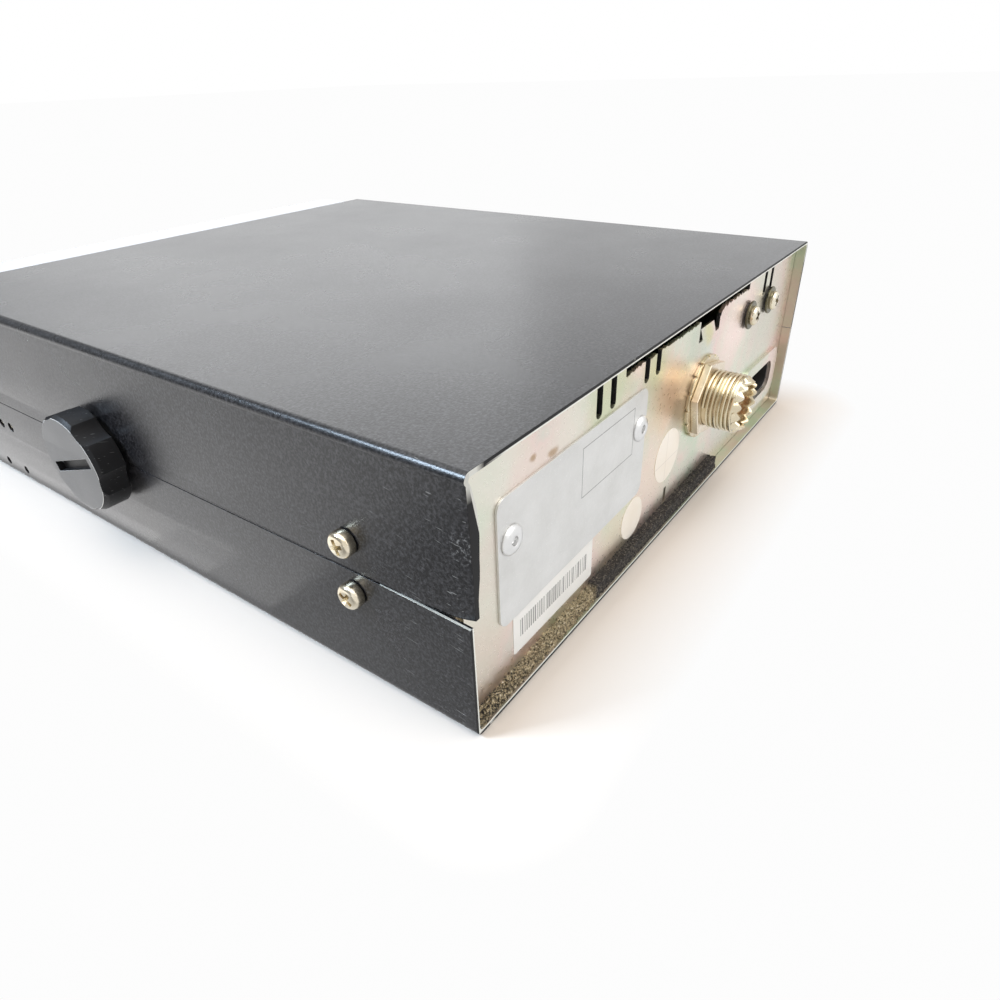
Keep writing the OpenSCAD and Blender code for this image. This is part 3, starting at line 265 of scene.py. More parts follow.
# cut edges of the covers: painted, but bare at the near corner, down the pushed-in lip and along the inner side
edgeWear = {
    "paint": (0.006, 0.006, 0.007), "bare": (0.84, 0.84, 0.79), "inner": (0.58, 0.68), "nearX": (86, 88),
    "cornerZ": (51.5, 54.5), "lipZ": (44, 54), "lipX": (87.95, 89.95), "topX": (86, 80), "topZ": (50, 51)}


def edgeFinish(s):
    f = Finish("wornEdge", Roughness=0.5, Specular_IOR_Level=0.2)
    g = f.grain(700, 240)
    x, z = f.axis(0), f.axis(2)
    depth = f.math("SUBTRACT", caseHalf * mm, f.math("ABSOLUTE", x))  # in from the outer skin
    for skin in (z, f.math("SUBTRACT", caseHeight * mm, z)):
        depth = f.math("MINIMUM", depth, skin)
    inner = f.ranged(depth, *(d * mm for d in s["inner"]))
    near = f.along(0, *s["nearX"])
    corner = f.product(near, f.along(2, *s["cornerZ"], 0, 0.7))
    lip = f.math("SUBTRACT", f.along(2, *s["lipZ"], *(d * mm for d in s["lipX"])), x)
    lip = f.product(near, f.ranged(lip, 0, 0.12 * mm, 0, 0.8))
    top = f.product(f.along(0, *s["topX"]), f.along(2, *s["topZ"]))
    lower = f.along(2, seamHeight, seamHeight - 0.1)
    bare = f.either(f.product(f.either(top, lower), inner), f.either(lip, corner))
    bare = f.either(bare, f.ranged(g["Cloud"], 0.7, 0.74, 0, 0.7))
    f.feed("Metallic", f.product(bare, 0.85))
    return f.done(f.mixed(bare, s["paint"], s["bare"]), g["Height"], 0.1)


# plated steel of the rear panel and the frame; the passivation goes green, yellow, tan and pink in patches, and the
# brown patch beside the antenna socket is painted shade
panelZinc = {
    "roughness": 0.3, "wander": 0.012,
    "stops": [(0.3, (0.60, 0.70, 0.54)), (0.42, (0.72, 0.71, 0.60)), (0.5, (0.79, 0.69, 0.60)),
              (0.6, (0.82, 0.65, 0.60)), (0.72, (0.68, 0.70, 0.62))]}
panelTints = [  # x, z, radius, colour
    (86, 30, 22, (0.71, 0.69, 0.60)), (86, 12, 16, (0.72, 0.63, 0.54)), (80, 52, 16, (0.80, 0.78, 0.70)),
    (89, 44, 9, (0.68, 0.75, 0.62)), (70, 47, 8, (0.84, 0.72, 0.66)), (56, 49, 12, (0.80, 0.76, 0.68)),
    (38, 50, 13, (0.62, 0.66, 0.44)), (16, 49, 11, (0.58, 0.61, 0.38)), (9, 36, 15, (0.82, 0.60, 0.42)),
    # the brown spot at x -3, z 33 is painted shade of the antenna socket
    (-3, 33, 9, (0.46, 0.34, 0.23)), (-9, 47, 10, (0.58, 0.63, 0.52)), (-66, 38, 24, (0.62, 0.62, 0.53)),
    (-16, 47.5, 5, (0.66, 0.64, 0.36)), (-38, 43, 16, (0.97, 0.80, 0.74)), (-40, 12, 22, (0.66, 0.66, 0.57)),
    (32, 9, 15, (0.84, 0.71, 0.55)), (12, 17, 16, (0.84, 0.71, 0.59)), (67.5, 49, 1.4, (0.40, 0.25, 0.12)),
    (62.7, 48.1, 1.7, (0.42, 0.27, 0.14))]


def zincFinish(s, name, dull, tints=()):
    f = Finish(name, Metallic=0.9)
    g = f.grain(900, 55)
    colour = f.ramp(g["Cloud"], s["stops"])
    if tints:
        plain, wide = f.place, s["wander"]
        wander = addNode(f.tree, "ShaderNodeTexNoise", {"Vector": plain, "Scale": 60, "Detail": 2}).outputs["Color"]
        f.place = vectorNode(f.tree, "MULTIPLY_ADD", wander, (wide, 0, wide), plain)
        f.place = vectorNode(f.tree, "SUBTRACT", f.place, (wide / 2, 0, wide / 2))
        for x, z, radius, tint in tints:
            colour = f.mixed(f.product(f.spot((x, panelFace, z), radius), 0.75), colour, tint)
        f.place = plain
    f.roughen(g["Height"], s["roughness"] - 0.05, s["roughness"] + 0.1)
    return f.done(f.mixed(1.0, colour, dull, "MULTIPLY"), g["Height"], 0.05)


# turned or pressed metal; box is an outline printed on it: x, z, half width, half height
def metalFinish(name, colour, dark, roughness, scale, bump=0.06, metallic=1.0, box=None):
    f = Finish(name, Metallic=metallic)
    g = f.grain(scale, 120)
    tone = f.mixed(f.ranged(g["Cloud"], 0.35, 0.75), colour, dark)
    tone = f.mixed(f.scratches(200, 6000, 0.9, 0.03), tone, tuple(min(1, c * 1.1) for c in colour))
    if box:
        tone = f.mixed(f.product(f.outline(*box, 0.11), 0.65), tone, (0.12, 0.12, 0.12))
    f.roughen(g["Height"], roughness * 0.8, roughness * 1.25)
    return f.done(tone, g["Height"], bump, 0.00005)


def plasticFinish(name, colour, roughness, scale=1800, bump=0.12, speck=0.25, specular=0.5):
    f = Finish(name, Specular_IOR_Level=specular)
    g = f.grain(scale, 60)
    pale, scraped = tuple(min(1, c * 1.25 + 0.008) for c in colour), tuple(min(1, c + 0.1) for c in colour)
    worn = f.mixed(f.scratches(150, 5000, 0.4, 0.03), f.mixed(g["Cloud"], colour, pale), scraped)
    f.roughen(g["Cloud"], roughness - 0.05, roughness + 0.07)
    return f.done(f.mixed(f.product(g["Speck"], speck), worn, pale), g["Height"], bump, 0.00005)


# paper with a little fibre; lines are faint: x, z, half width, half height
def paperFinish(name, colour, shade, lines=(), bars=None):
    f = Finish(name)
    g = f.grain(1500, 70)
    tone = f.mixed(f.ranged(g["Cloud"], 0.4, 0.75), colour, shade)
    for line in lines:
        tone = f.mixed(f.product(f.outline(*line, 0.13), 0.2), tone, (0.2, 0.18, 0.16))
    if bars:
        along = f.product(f.axis(0), 1 / (bars["pitch"] * mm))
        chance = addNode(f.tree, "ShaderNodeTexWhiteNoise", noise_dimensions="1D")
        f.tree.links.new(f.math("FLOOR", along), chance.inputs["W"])
        width = f.ranged(chance.outputs["Value"], 0, 1, 0.2, 0.75)
        inked = f.math("LESS_THAN", f.math("FRACT", along), width)
        for axis, (low, high) in ((0, bars["x"]), (2, bars["z"])):
            inked = f.product(inked, f.math("GREATER_THAN", f.axis(axis), low * mm))
            inked = f.product(inked, f.math("LESS_THAN", f.axis(axis), high * mm))
        tone = f.mixed(f.product(inked, 0.75), tone, bars["ink"])
    f.roughen(g["Height"], 0.5, 0.7)
    return f.done(tone, g["Height"], 0.08)


# sealing foam: open black cells, brown with dust where it has torn at the +X end
foamLook = {
    "black": (0.012, 0.010, 0.009), "fleck": (0.17, 0.15, 0.125), "dust": (0.45, 0.37, 0.23),
    "hollow": (0.045, 0.036, 0.021), "crumb": (0.62, 0.58, 0.50), "dustX": (44.5, 46.5), "darkX": (66, 84)}


def foamFinish(s):
    f = Finish("foamCells")
    cells = f.grain(2200, 800)["Height"]
    dusty = f.mixed(f.ranged(cells, 0.34, 0.62), s["hollow"], s["dust"])
    dusty = f.mixed(f.ranged(cells, 0.64, 0.72), dusty, s["crumb"])
    dark = f.product(f.along(0, *s["darkX"], 0, 0.95), f.ranged(cells, 0.62, 0.42))
    dusty = f.mixed(dark, dusty, s["black"])
    clean = f.mixed(f.ranged(cells, 0.5, 0.72), s["black"], s["fleck"])
    f.roughen(cells, 0.85, 1.0)
    return f.done(f.mixed(f.along(0, *s["dustX"]), clean, dusty), cells, 0.8, 0.0004)


def glassFinish(name, colour, roughness):
    f = Finish(name, Base_Color=colour, Transmission_Weight=1.0, IOR=1.49)
    f.roughen(f.grain(300, 50)["Cloud"], roughness * 0.6, roughness * 1.5)
    return f.material


def glowFinish(name, colour, strength):
    f = Finish(name, Roughness=0.4, Emission_Strength=strength)
    lit = f.mixed(f.grain(900, 80)["Cloud"], colour, tuple(c * 0.75 for c in colour))
    f.feed("Base Color", lit)
    f.feed("Emission Color", lit)
    return f.material


paint = paintFinish(coverPaint)
wornEdge = edgeFinish(edgeWear)
zinc = zincFinish(panelZinc, "panelZinc", (1, 1, 1), panelTints)
zincInside = zincFinish({**panelZinc, "roughness": 0.42}, "zincInside", (0.72, 0.77, 0.69))
washerSteel = metalFinish("washerSteel", (0.19, 0.175, 0.115), (0.05, 0.045, 0.03), 0.3, 900)
bareSteel = metalFinish("bareCutEdge", (0.52, 0.52, 0.48), (0.18, 0.18, 0.165), 0.5, 900, metallic=0.15)
screwNickel = metalFinish("screwNickel", (0.86, 0.80, 0.66), (0.62, 0.52, 0.36), 0.22, 700)
socketNickel = metalFinish("socketNickel", (0.74, 0.66, 0.49), (0.50, 0.40, 0.25), 0.22, 600)
nutNickel = metalFinish("nutNickel", (0.90, 0.82, 0.69), (0.60, 0.48, 0.34), 0.3, 600)
recessShade = metalFinish("recessShade", (0.24, 0.19, 0.12), (0.12, 0.095, 0.06), 0.45, 700)
chrome = metalFinish("switchChrome", (0.84, 0.84, 0.82), (0.7, 0.7, 0.68), 0.14, 800)
copper = metalFinish("contactCopper", (0.80, 0.50, 0.33), (0.55, 0.30, 0.18), 0.28, 700)
aluminium = metalFinish("plateAluminium", (0.74, 0.74, 0.73), (0.66, 0.66, 0.645), 0.36, 1300, 0.05, 0.85,
                        (38.75, 36.8, 11.55, 5.8))
rivetMetal = metalFinish("rivetAluminium", (0.84, 0.84, 0.84), (0.66, 0.66, 0.65), 0.34, 700)
steel = metalFinish("innerSteel", (0.6, 0.6, 0.57), (0.42, 0.42, 0.40), 0.35, 400)
knobPlastic = plasticFinish("knobPlastic", (0.011, 0.011, 0.012), 0.36, speck=0.06, specular=0.3)
thumbPlastic = plasticFinish("thumbPlastic", (0.009, 0.009, 0.01), 0.4, speck=0.0, specular=0.12)
knobFace = plasticFinish("knobFace", (0.062, 0.061, 0.061), 0.36, specular=0.32)
# pale grey for the rims of the thumb knobs' faces, a painted highlight
knobRim = plasticFinish("knobRim", (0.42, 0.42, 0.41), 0.4)
socketPlastic = plasticFinish("socketPlastic", (0.016, 0.016, 0.016), 0.45)
washerFibre = plasticFinish("washerFibre", (0.012, 0.011, 0.01), 0.4, 900, 0.25)
silverPlastic = plasticFinish("bezelSilver", (0.375, 0.375, 0.39), 0.34, 2400, 0.15, 0.5)
creamPlastic = plasticFinish("creamInsulator", (0.72, 0.68, 0.58), 0.45)
dialWhite = plasticFinish("dialWhite", (0.80, 0.78, 0.70), 0.55)
redPlastic = plasticFinish("redPlastic", (0.55, 0.03, 0.025), 0.25)
boardGreen = plasticFinish("boardGreen", (0.06, 0.20, 0.10), 0.4, 500)
sleeveBlue = plasticFinish("capSleeve", (0.03, 0.06, 0.18), 0.28)
conePaper = paperFinish("conePaper", (0.07, 0.065, 0.06), (0.045, 0.042, 0.04))
labelBars = {"x": (46, 73.5), "z": (9.8, 14.2), "pitch": 0.8, "ink": (0.14, 0.145, 0.15)}  # they code nothing
labelPaper = paperFinish("labelPaper", (0.86, 0.87, 0.86), (0.80, 0.81, 0.80), bars=labelBars)
sealLines = [(4.6, 20, 0, 7), (4, 18.6, 7, 0)]
sealPaper = paperFinish("sealPaper", (0.95, 0.91, 0.84), (0.90, 0.84, 0.74), sealLines)
foamCells = foamFinish(foamLook)
markWhite = plasticFinish("markWhite", (0.85, 0.85, 0.83), 0.45)
markBlack = plasticFinish("markBlack", (0.03, 0.03, 0.03), 0.5)
clearLens = glassFinish("meterGlass", (0.97, 0.98, 0.98), 0.04)
redLens = glassFinish("displayGlass", (0.75, 0.06, 0.05), 0.06)
digitGlow = glowFinish("digitGlow", (1.0, 0.12, 0.06), 1.6)
print("finishes:", len(bpy.data.materials))


# mesh helpers
def linkMesh(name, mesh, *materials):
    obj = bpy.data.objects.new(name, mesh)
    scene.collection.objects.link(obj)
    for material in materials:
        mesh.materials.append(material)
    return obj


def objectFrom(name, bm, *materials):
    mesh = bpy.data.meshes.new(name)
    bm.to_mesh(mesh)
    bm.free()
    return linkMesh(name, mesh, *materials)


def bakeModifiers(obj):
    graph = bpy.context.evaluated_depsgraph_get()
    mesh = bpy.data.meshes.new_from_object(obj.evaluated_get(graph), preserve_all_data_layers=True, depsgraph=graph)
    old = obj.data
    obj.modifiers.clear()
    obj.data = mesh
    mesh.name = obj.name
    if not old.users:
        bpy.data.meshes.remove(old)
    return obj


def smoothEdges(obj, angle):
    obj.data.shade_smooth()
    obj.data.set_sharp_from_angle(angle=math.radians(angle))


def bodyOfNode(node):
    return cadNodes[node].parent.name.split(":", 1)[1]


def standFor(obj, *replaced, body=None, slot=None):
    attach(obj, body or bodyOfNode(replaced[0]))
    if replaced:
        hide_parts(*replaced)
    return obj


def solidCopy(node):
    bm = bmesh.new()
    bm.from_mesh(cadNodes[node].data)
    bmesh.ops.remove_doubles(bm, verts=bm.verts, dist=2e-6)
    bmesh.ops.dissolve_limit(bm, angle_limit=math.radians(0.6), verts=bm.verts, edges=bm.edges)
    return bm


def unitCube():
    bm = bmesh.new()
    bmesh.ops.create_cube(bm, size=1)
    return bm


def finishSheet(obj, width, segments, angle):
    bevel = obj.modifiers.new("edges", "BEVEL")
    bevel.width, bevel.segments, bevel.limit_method = width * mm, segments, "ANGLE"
    bevel.angle_limit = math.radians(angle)
    obj.data.shade_smooth()
    obj.modifiers.new("normals", "WEIGHTED_NORMAL")
    return bakeModifiers(obj)


# pieces take the names of their nodes, apart from these
ownNames = {
    "chassis_frame": "innerFrame", "antenna_lock_washer": "antennaWasher", "round_stickers": "roundSeals",
    "meter_lens": "meterGlass", "channel_lens": "displayGlass"}


def pieceName(node):
    first, *others = node.split("_")
    return ownNames.get(node, first + "".join(word.capitalize() for word in others))


# a CAD solid with its edges eased
def easedPiece(node, material, width=0.2, segments=2):
    obj = objectFrom(pieceName(node), solidCopy(node), material)
    return standFor(finishSheet(obj, width, segments, 38), node)


def faceFinish(obj, material, test):
    obj.data.materials.append(material)
    for face in obj.data.polygons:
        if test(face.center / mm, face.normal):
            face.material_index = len(obj.data.materials) - 1


def cutPlanes(bm, axis, values, inside):
    normal = Vector([1 if i == axis else 0 for i in range(3)])
    for value in values:
        faces = [f for f in bm.faces if inside(f.calc_center_median() / mm)]
        around = list({e for f in faces for e in f.edges}) + list({v for f in faces for v in f.verts})
        bmesh.ops.bisect_plane(bm, geom=faces + around, plane_co=normal * value * mm, plane_no=normal, dist=1e-7)


def steps(low, high, pitch):
    return [low + i * pitch for i in range(int((high - low) / pitch) + 1)]


def clamped(value):
    return min(1.0, max(0.0, value))


def spun(angle, axis="Z"):
    return Matrix.Rotation(math.radians(angle), 4, axis)


toRear, toFront = spun(-90, "X"), spun(90, "X")  # local Z points out of the rear panel, or of the front

# covers: outer skin painted, cut edges worn, plating inside; the upper one's rear lip is pushed in at +X,
# and the seam opens there over a bare ledge
coverShape = {
    "lip": [(27, 1.8), (31, 1.8), (38, 2.6), (46, 3.0), (50, 2.6), (54, 1.6), (56, 0.6), (57.2, 0.2)], "from": 82,
    "to": 103, "edge": 0.14, "ledge": 0.2, "ledgeZ": (35, 30), "bareFrom": 91.5, "wallX": 85,
    "seamShift": {True: -0.1, False: 0.12}, "seamFall": {True: 0.15, False: 0.75}, "fallY": (77, 103),
    "fallPower": 1.6}


def between(points, at):
    for (a, low), (b, high) in zip(points, points[1:]):
        if at <= b:
            t = max(0.0, (at - a) / (b - a))
            return low + (high - low) * (3 * t * t - 2 * t ** 3)
    return points[-1][1]


def shareOf(value, ends):
    return (value - ends[0]) / (ends[1] - ends[0])


def lipPush(y, z, s=coverShape):
    t = clamped(shareOf(y, (s["from"], s["to"])))
    ledge = s["ledge"] * min(1.0, 2.5 * t) * clamped(shareOf(z, s["ledgeZ"]))
    return max(ledge, between(s["lip"], z) * (0.2 * t ** 1.3 + 0.8 * t ** 6))


def coverPiece(s, name, node, upper):
    painted, worn, plated, bare = range(4)
    bm = solidCopy(node)
    cutPlanes(bm, 1, [70, 78] + steps(82, 102.5, 1.3), lambda c: c.x > s["wallX"] and (c.y > 60 or not upper))
    if upper:
        cutPlanes(bm, 2, steps(30, 56, 2), lambda c: c.x > 90.5 and c.y > 76)
    else:
        cutPlanes(bm, 0, [s["bareFrom"]], lambda c: c.x > s["wallX"] and c.y > 75 and abs(c.z - seamHeight) < 1)
    for face in bm.faces:
        c, n = face.calc_center_median() / mm, face.normal
        height = c.z if upper else caseHeight - c.z
        out = (abs(c.x) > caseHalf - 0.6 or height > caseHeight - 0.6 or (n.x * c.x > 0 and abs(c.x) > 88)
               or (n.z > 0) == upper and abs(n.z) > 0.1)
        if abs(n.z) > 0.9 and height < 30:
            face.material_index = bare if c.x > s["bareFrom"] and c.y > 80 else painted
        else:
            face.material_index = worn if abs(n.y) > 0.9 else (painted if out else plated)
    for v in bm.verts:
        if abs(v.co.z / mm - seamHeight) < 0.35:
            v.co.z += s["seamShift"][upper] * mm
            if v.co.x > s["wallX"] * mm:
                v.co.z -= s["seamFall"][upper] * max(0.0, shareOf(v.co.y / mm, s["fallY"])) ** s["fallPower"] * mm
    if upper:
        for v in bm.verts:
            if v.co.x > s["wallX"] * mm:
                share = min(1.0, (v.co.x / mm - s["wallX"]) / 5)
                v.co.x -= share * lipPush(v.co.y / mm, v.co.z / mm) * mm
    obj = objectFrom(name, bm, paint, wornEdge, zincInside, bareSteel)
    return standFor(finishSheet(obj, s["edge"], 2, 50), node)


coverPiece(coverShape, "upperCover", "top_cover", True)
coverPiece(coverShape, "lowerCover", "bottom_cover", False)
print("covers made")

# rear panel: torn edge of the dip under the cover, bent tab, edge following the pushed-in lip
panelShape = {
    "tear": 0.7, "tabTilt": 16, "tabTop": 49.3, "tabX": -16.6, "tabHalf": 4.6, "tabFoot": 46.6,
    "dip": (-46, 32, 52), "notch": (-26.6, -23.3), "notchDrop": 2.2, "slotFoot": 46.8}


def panelPiece(s):
    bm = solidCopy("rear_panel")
    dipLow, dipHigh, dipZ = s["dip"]
    cutPlanes(bm, 2, [s["tabFoot"], s["tabFoot"] + 0.9], lambda c: True)
    cutPlanes(bm, 0, steps(dipLow + 0.5, dipHigh, 0.45), lambda c: c.z > 47)
    cutPlanes(bm, 2, steps(26, 54, 2), lambda c: c.x > 87)
    hinge = Vector((0, panelFace, s["tabFoot"])) * mm
    tilt = spun(s["tabTilt"], "X").to_3x3()
    for v in bm.verts:
        x, z = v.co.x / mm, v.co.z / mm
        if abs(z - dipZ) < 0.02 and dipLow - 0.1 < x < dipHigh + 0.1:
            rough = noise.noise(Vector((x * 1.1, 3.7, 0))) + 0.9 * noise.noise(Vector((x * 4.3, 9.2, 0)))
            v.co.z += (rough * s["tear"] - 0.35) * mm
            if s["notch"][0] < x < s["notch"][1]:
                v.co.z -= s["notchDrop"] * shareOf(x, s["notch"]) * mm
        if abs(x - s["tabX"]) < s["tabHalf"] and z > s["tabFoot"] - 0.01:
            if z > 50:
                v.co.z = s["tabTop"] * mm
            v.co = hinge + tilt @ (v.co - hinge)
        if x > 90:
            v.co.x -= max(0.0, lipPush(panelFace, z) - 0.1) * mm
    obj = finishSheet(objectFrom("rearPanel", bm, zinc), 0.12, 2, 50)
    # the slots' cut sides are painted dark, as painted shade
    faceFinish(obj, socketPlastic, lambda c, n: abs(n.x) > 0.8 and c.z > s["slotFoot"] and abs(c.x) < 80)
    return standFor(obj, "rear_panel")


panelPiece(panelShape)
easedPiece("chassis_frame", zincInside, 0.12)
print("panel made")

# sealing foam along the panel's foot, torn and pressed down at the +X end
foamShape = {
    "low": (-30.2, 100.0, 1.02), "high": (90.4, 102.55, 4.9), "pitch": 0.4, "rows": (6, 7), "clean": 0.35,
    "torn": 0.8, "tornX": (44.5, 46.5), "pressX": (60, 74), "pressed": (0.9, 1.0)}


def foamPiece(s):
    (x0, y0, z0), (x1, y1, z1) = s["low"], s["high"]
    bm = unitCube()
    for v in bm.verts:
        v.co += Vector((0.5, 0.5, 0.5))
    for axis, count in enumerate((int((x1 - x0) / s["pitch"]), *s["rows"])):
        cutPlanes(bm, axis, [k / count / mm for k in range(1, count)], lambda c: True)
    for v in bm.verts:
        x, y, z = x0 + v.co.x * (x1 - x0), v.co.y, v.co.z
        worn = clamped(shareOf(x, s["tornX"]))
        top = z1 - worn * (s["pressed"][0] + s["pressed"][1] * clamped(shareOf(x, s["pressX"])))
        rough = s["clean"] + (s["torn"] - s["clean"]) * worn
        jag = [noise.noise(Vector((x * 0.9, y * 3 + k * 7.3, z * 3)))
               + 0.8 * noise.noise(Vector((x * 2.9, y * 5 + k * 3.1, z * 6))) for k in range(2)]
        out = y0 + y * (y1 - y0) + (jag[0] - 0.15) * rough * y
        up = z0 + z * (top - z0) + (jag[1] - 0.2) * rough * z
        v.co = Vector((x, max(y0, min(out, y1 + 0.38)), max(z0, min(up, z1 + 0.3)))) * mm
    obj = objectFrom("sealFoam", bm, foamCells)
    smoothEdges(obj, 60)
    return standFor(obj, "foam_strip")


foamPiece(foamShape)


# turned pieces: a profile of (radius, height) spun about Z
def turned(profile, segments, closed=False):
    bm = bmesh.new()
    rings = []
    for r, h in profile:
        if r < 1e-6:
            rings.append([bm.verts.new((0, 0, h * mm))] * segments)
        else:
            rings.append([bm.verts.new((r * mm * math.cos(a), r * mm * math.sin(a), h * mm))
                          for a in (2 * math.pi * k / segments for k in range(segments))])
    pairs = list(zip(rings, rings[1:])) + ([(rings[-1], rings[0])] if closed else [])
    for lower, upper in pairs:
        for k in range(segments):
            j = (k + 1) % segments
            corners = list(dict.fromkeys((lower[k], lower[j], upper[j], upper[k])))
            if len(corners) > 2:
                bm.faces.new(corners)
    bmesh.ops.recalc_face_normals(bm, faces=bm.faces)
    return bm


# geometry nodes
def geometryTree(name, **inputs):
    tree = bpy.data.node_groups.new(name, "GeometryNodeTree")
    for key, kind in {"Geometry": "Geometry", **inputs}.items():
        tree.interface.new_socket(key, in_out="INPUT", socket_type="NodeSocket" + kind)
    tree.interface.new_socket("Geometry", in_out="OUTPUT", socket_type="NodeSocketGeometry")
    return tree, tree.nodes.new("NodeGroupInput").outputs, tree.nodes.new("NodeGroupOutput").inputs


def endTree(tree, given, result, last):
    realize = addNode(tree, "GeometryNodeRealizeInstances", {0: last.outputs[0]})
    finish = addNode(tree, "GeometryNodeSetMaterial", {0: realize.outputs[0], "Material": given["Finish"]})
    tree.links.new(finish.outputs[0], result[0])
    return tree


# a template set at points, each with its own turn
def scatterTree():
    tree, given, result = geometryTree("setAtPoints", Template="Object", Size="Float", Finish="Material")
    info = addNode(tree, "GeometryNodeObjectInfo", {0: given["Template"]})
    turn = addNode(tree, "GeometryNodeInputNamedAttribute", {"Name": "turn"}, data_type="FLOAT_VECTOR")
    spin = addNode(tree, "FunctionNodeEulerToRotation", {0: turn.outputs[0]})
    place = addNode(tree, "GeometryNodeInstanceOnPoints", {
        "Points": given["Geometry"], "Instance": info.outputs["Geometry"], "Rotation": spin.outputs[0],
        "Scale": given["Size"]})
    return endTree(tree, given, result, place)


def treeMesh(name, mesh, tree, angle, **values):
    obj = linkMesh(name, mesh)
    modifier = obj.modifiers.new("make", "NODES")
    modifier.node_group = tree
    for key, value in values.items():
        modifier[tree.interface.items_tree[key].identifier] = value
    bakeModifiers(obj)
    smoothEdges(obj, angle)
    return obj


def removeTemplate(obj):
    mesh = obj.data
    bpy.data.objects.remove(obj)
    bpy.data.meshes.remove(mesh)


setAtPoints = scatterTree()


def scattered(name, template, spots, material, size=1.0):
    mesh = bpy.data.meshes.new(name)
    mesh.from_pydata([p for p, t in spots], [], [])
    turn = mesh.attributes.new("turn", "FLOAT_VECTOR", "POINT")
    for k, (p, t) in enumerate(spots):
        turn.data[k].vector = t
    obj = treeMesh(name, mesh, setAtPoints, 35, Template=template, Size=size, Finish=material)
    removeTemplate(template)
    return obj


def setPiece(node, template, spots, material, size=1.0):
    return standFor(scattered(pieceName(node), template, spots, material, size), node)


# pan-head screws with a cross recess
screwHead = {"radius": 2.8, "height": 2.6, "slot": 1.1, "cross": 4.1, "deep": 1.7, "under": 4.0, "shank": 1.4}


def screwTemplate(s):
    r, h = s["radius"], s["height"]
    arc = [math.radians(d) for d in (0, 15, 30, 45, 60, 74, 84)]
    rim = [(r * math.cos(a) ** 0.38, h * (0.5 + 0.5 * math.sin(a))) for a in arc]
    shank = [(0, -s["under"]), (s["shank"], -s["under"]), (s["shank"], -0.01), (r * 0.97, -0.01), (r, 0.25)]
    obj = objectFrom("screwTemplate", turned(shank + rim + [(0, h)], 40))
    for k in range(2):
        bm = unitCube()
        for v in bm.verts:
            low = v.co.z < 0
            wide, long = (s["slot"] * 0.55, s["cross"] * 0.5) if low else (s["slot"], s["cross"])
            v.co = Vector((v.co.x * long, v.co.y * wide, h - s["deep"] if low else h + 1)) * mm
        bm.transform(spun(90 * k))
        cutter = objectFrom("crossCutter", bm)
        cut = obj.modifiers.new("cross", "BOOLEAN")
        cut.object, cut.operation, cut.solver = cutter, "DIFFERENCE", "EXACT"
        bakeModifiers(obj)
        removeTemplate(cutter)
    return obj


coverPlaces = [(side, y, z) for side in (1, -1) for y in (75, -93) for z in (35.1, 23.0)]
coverSpots = [(Vector((side * (caseHalf + 0.25), y, z)) * mm, (spun(90 * side, "Y") @ spun(37 * k + 20)).to_euler())
              for k, (side, y, z) in enumerate(coverPlaces)]
coverScrews = setPiece("cover_screws", screwTemplate(screwHead), coverSpots, screwNickel)
faceFinish(coverScrews, recessShade, lambda c, n: abs(c.x) < caseHalf + 2.4 and any(
    math.hypot(c.y - y, c.z - z) < 2.1 for side, y, z in coverPlaces))

# screws of the power transistors, on shouldered washers with a neck and a steel face
heatShape = {
    "screw": {**screwHead, "height": 1.8, "slot": 1.2, "cross": 4.2, "deep": 1.4}, "z": 43.6,
    "places": ((-48.2, 25), (-66.4, 70)), "headY": 101.2, "recessY": 102.75, "steelY": 100.8,
    "washer": [(1.6, -0.9), (2.2, -0.9), (2.2, 0), (3.4, 0), (3.4, 0.5), (4.0, 0.55), (4.15, 0.7), (4.15, 1.05),
               (4.0, 1.2), (2.5, 1.2), (1.6, 1.2)]}


def heatPieces(s):
    heads, seats = ([(Vector((x, y, s["z"])) * mm, (toRear @ spun(spin)).to_euler()) for x, spin in s["places"]]
                    for y in (s["headY"], panelFace))
    screws = setPiece("heatsink_screws", screwTemplate(s["screw"]), heads, screwNickel)
    faceFinish(screws, recessShade, lambda c, n: c.y < s["recessY"] and any(
        math.hypot(c.x - x, c.z - s["z"]) < 2.2 for x, spin in s["places"]))
    washerTemplate = objectFrom("washerTemplate", turned(s["washer"], 48, True))
    washers = setPiece("shoulder_washers", washerTemplate, seats, washerFibre)
    faceFinish(washers, washerSteel, lambda c, n: c.y > s["steelY"])


heatPieces(heatShape)

# blind rivets that hold the plate
rivetShape = [
    (0, -1.2), (0.95, -1.2), (0.95, 0), (2.62, 0), (2.7, 0.15), (2.62, 0.38), (2.25, 0.68), (1.55, 0.88),
    (1.05, 0.9), (0.86, 0.78), (0.8, 0.1), (0.55, -0.1), (0, -0.1)]
rivetSpots = [(Vector((x, 100.5, z)) * mm, toRear.to_euler()) for x, z in ((75.9, 35.6), (23.8, 36.2))]
setPiece("plate_rivets", objectFrom("rivetTemplate", turned(rivetShape, 40)), rivetSpots, rivetMetal, 1.16)

# the plate is a little larger than its solid, and its +X end hangs lower
plateShape = {"x": (20.7, 79.3), "middle": 31.7, "top": (0.7, 0.3), "foot": (-0.6, -1.8), "longer": 0.7}
plate = easedPiece("data_plate", aluminium, 0.12)
for v in plate.data.vertices:
    share = shareOf(v.co.x / mm, plateShape["x"])
    near, far = plateShape["top" if v.co.z > plateShape["middle"] * mm else "foot"]
    v.co.z += (near + (far - near) * share) * mm
    v.co.x += plateShape["longer"] * share * mm
print("fasteners set")

# antenna socket: turned barrel with a notched mouth, and a rolled thread round it
antennaShape = {
    "centre": (-16.6, 0, 29.4), "teeth": 14, "toothDeep": 1.1, "core": 7.42, "thread": 0.44, "pitch": 1.058,
    "from": 103.4, "to": 110.9, "mouth": 113.0, "faceFrom": 104.5, "face": 3.2, "nutFront": -1.0}


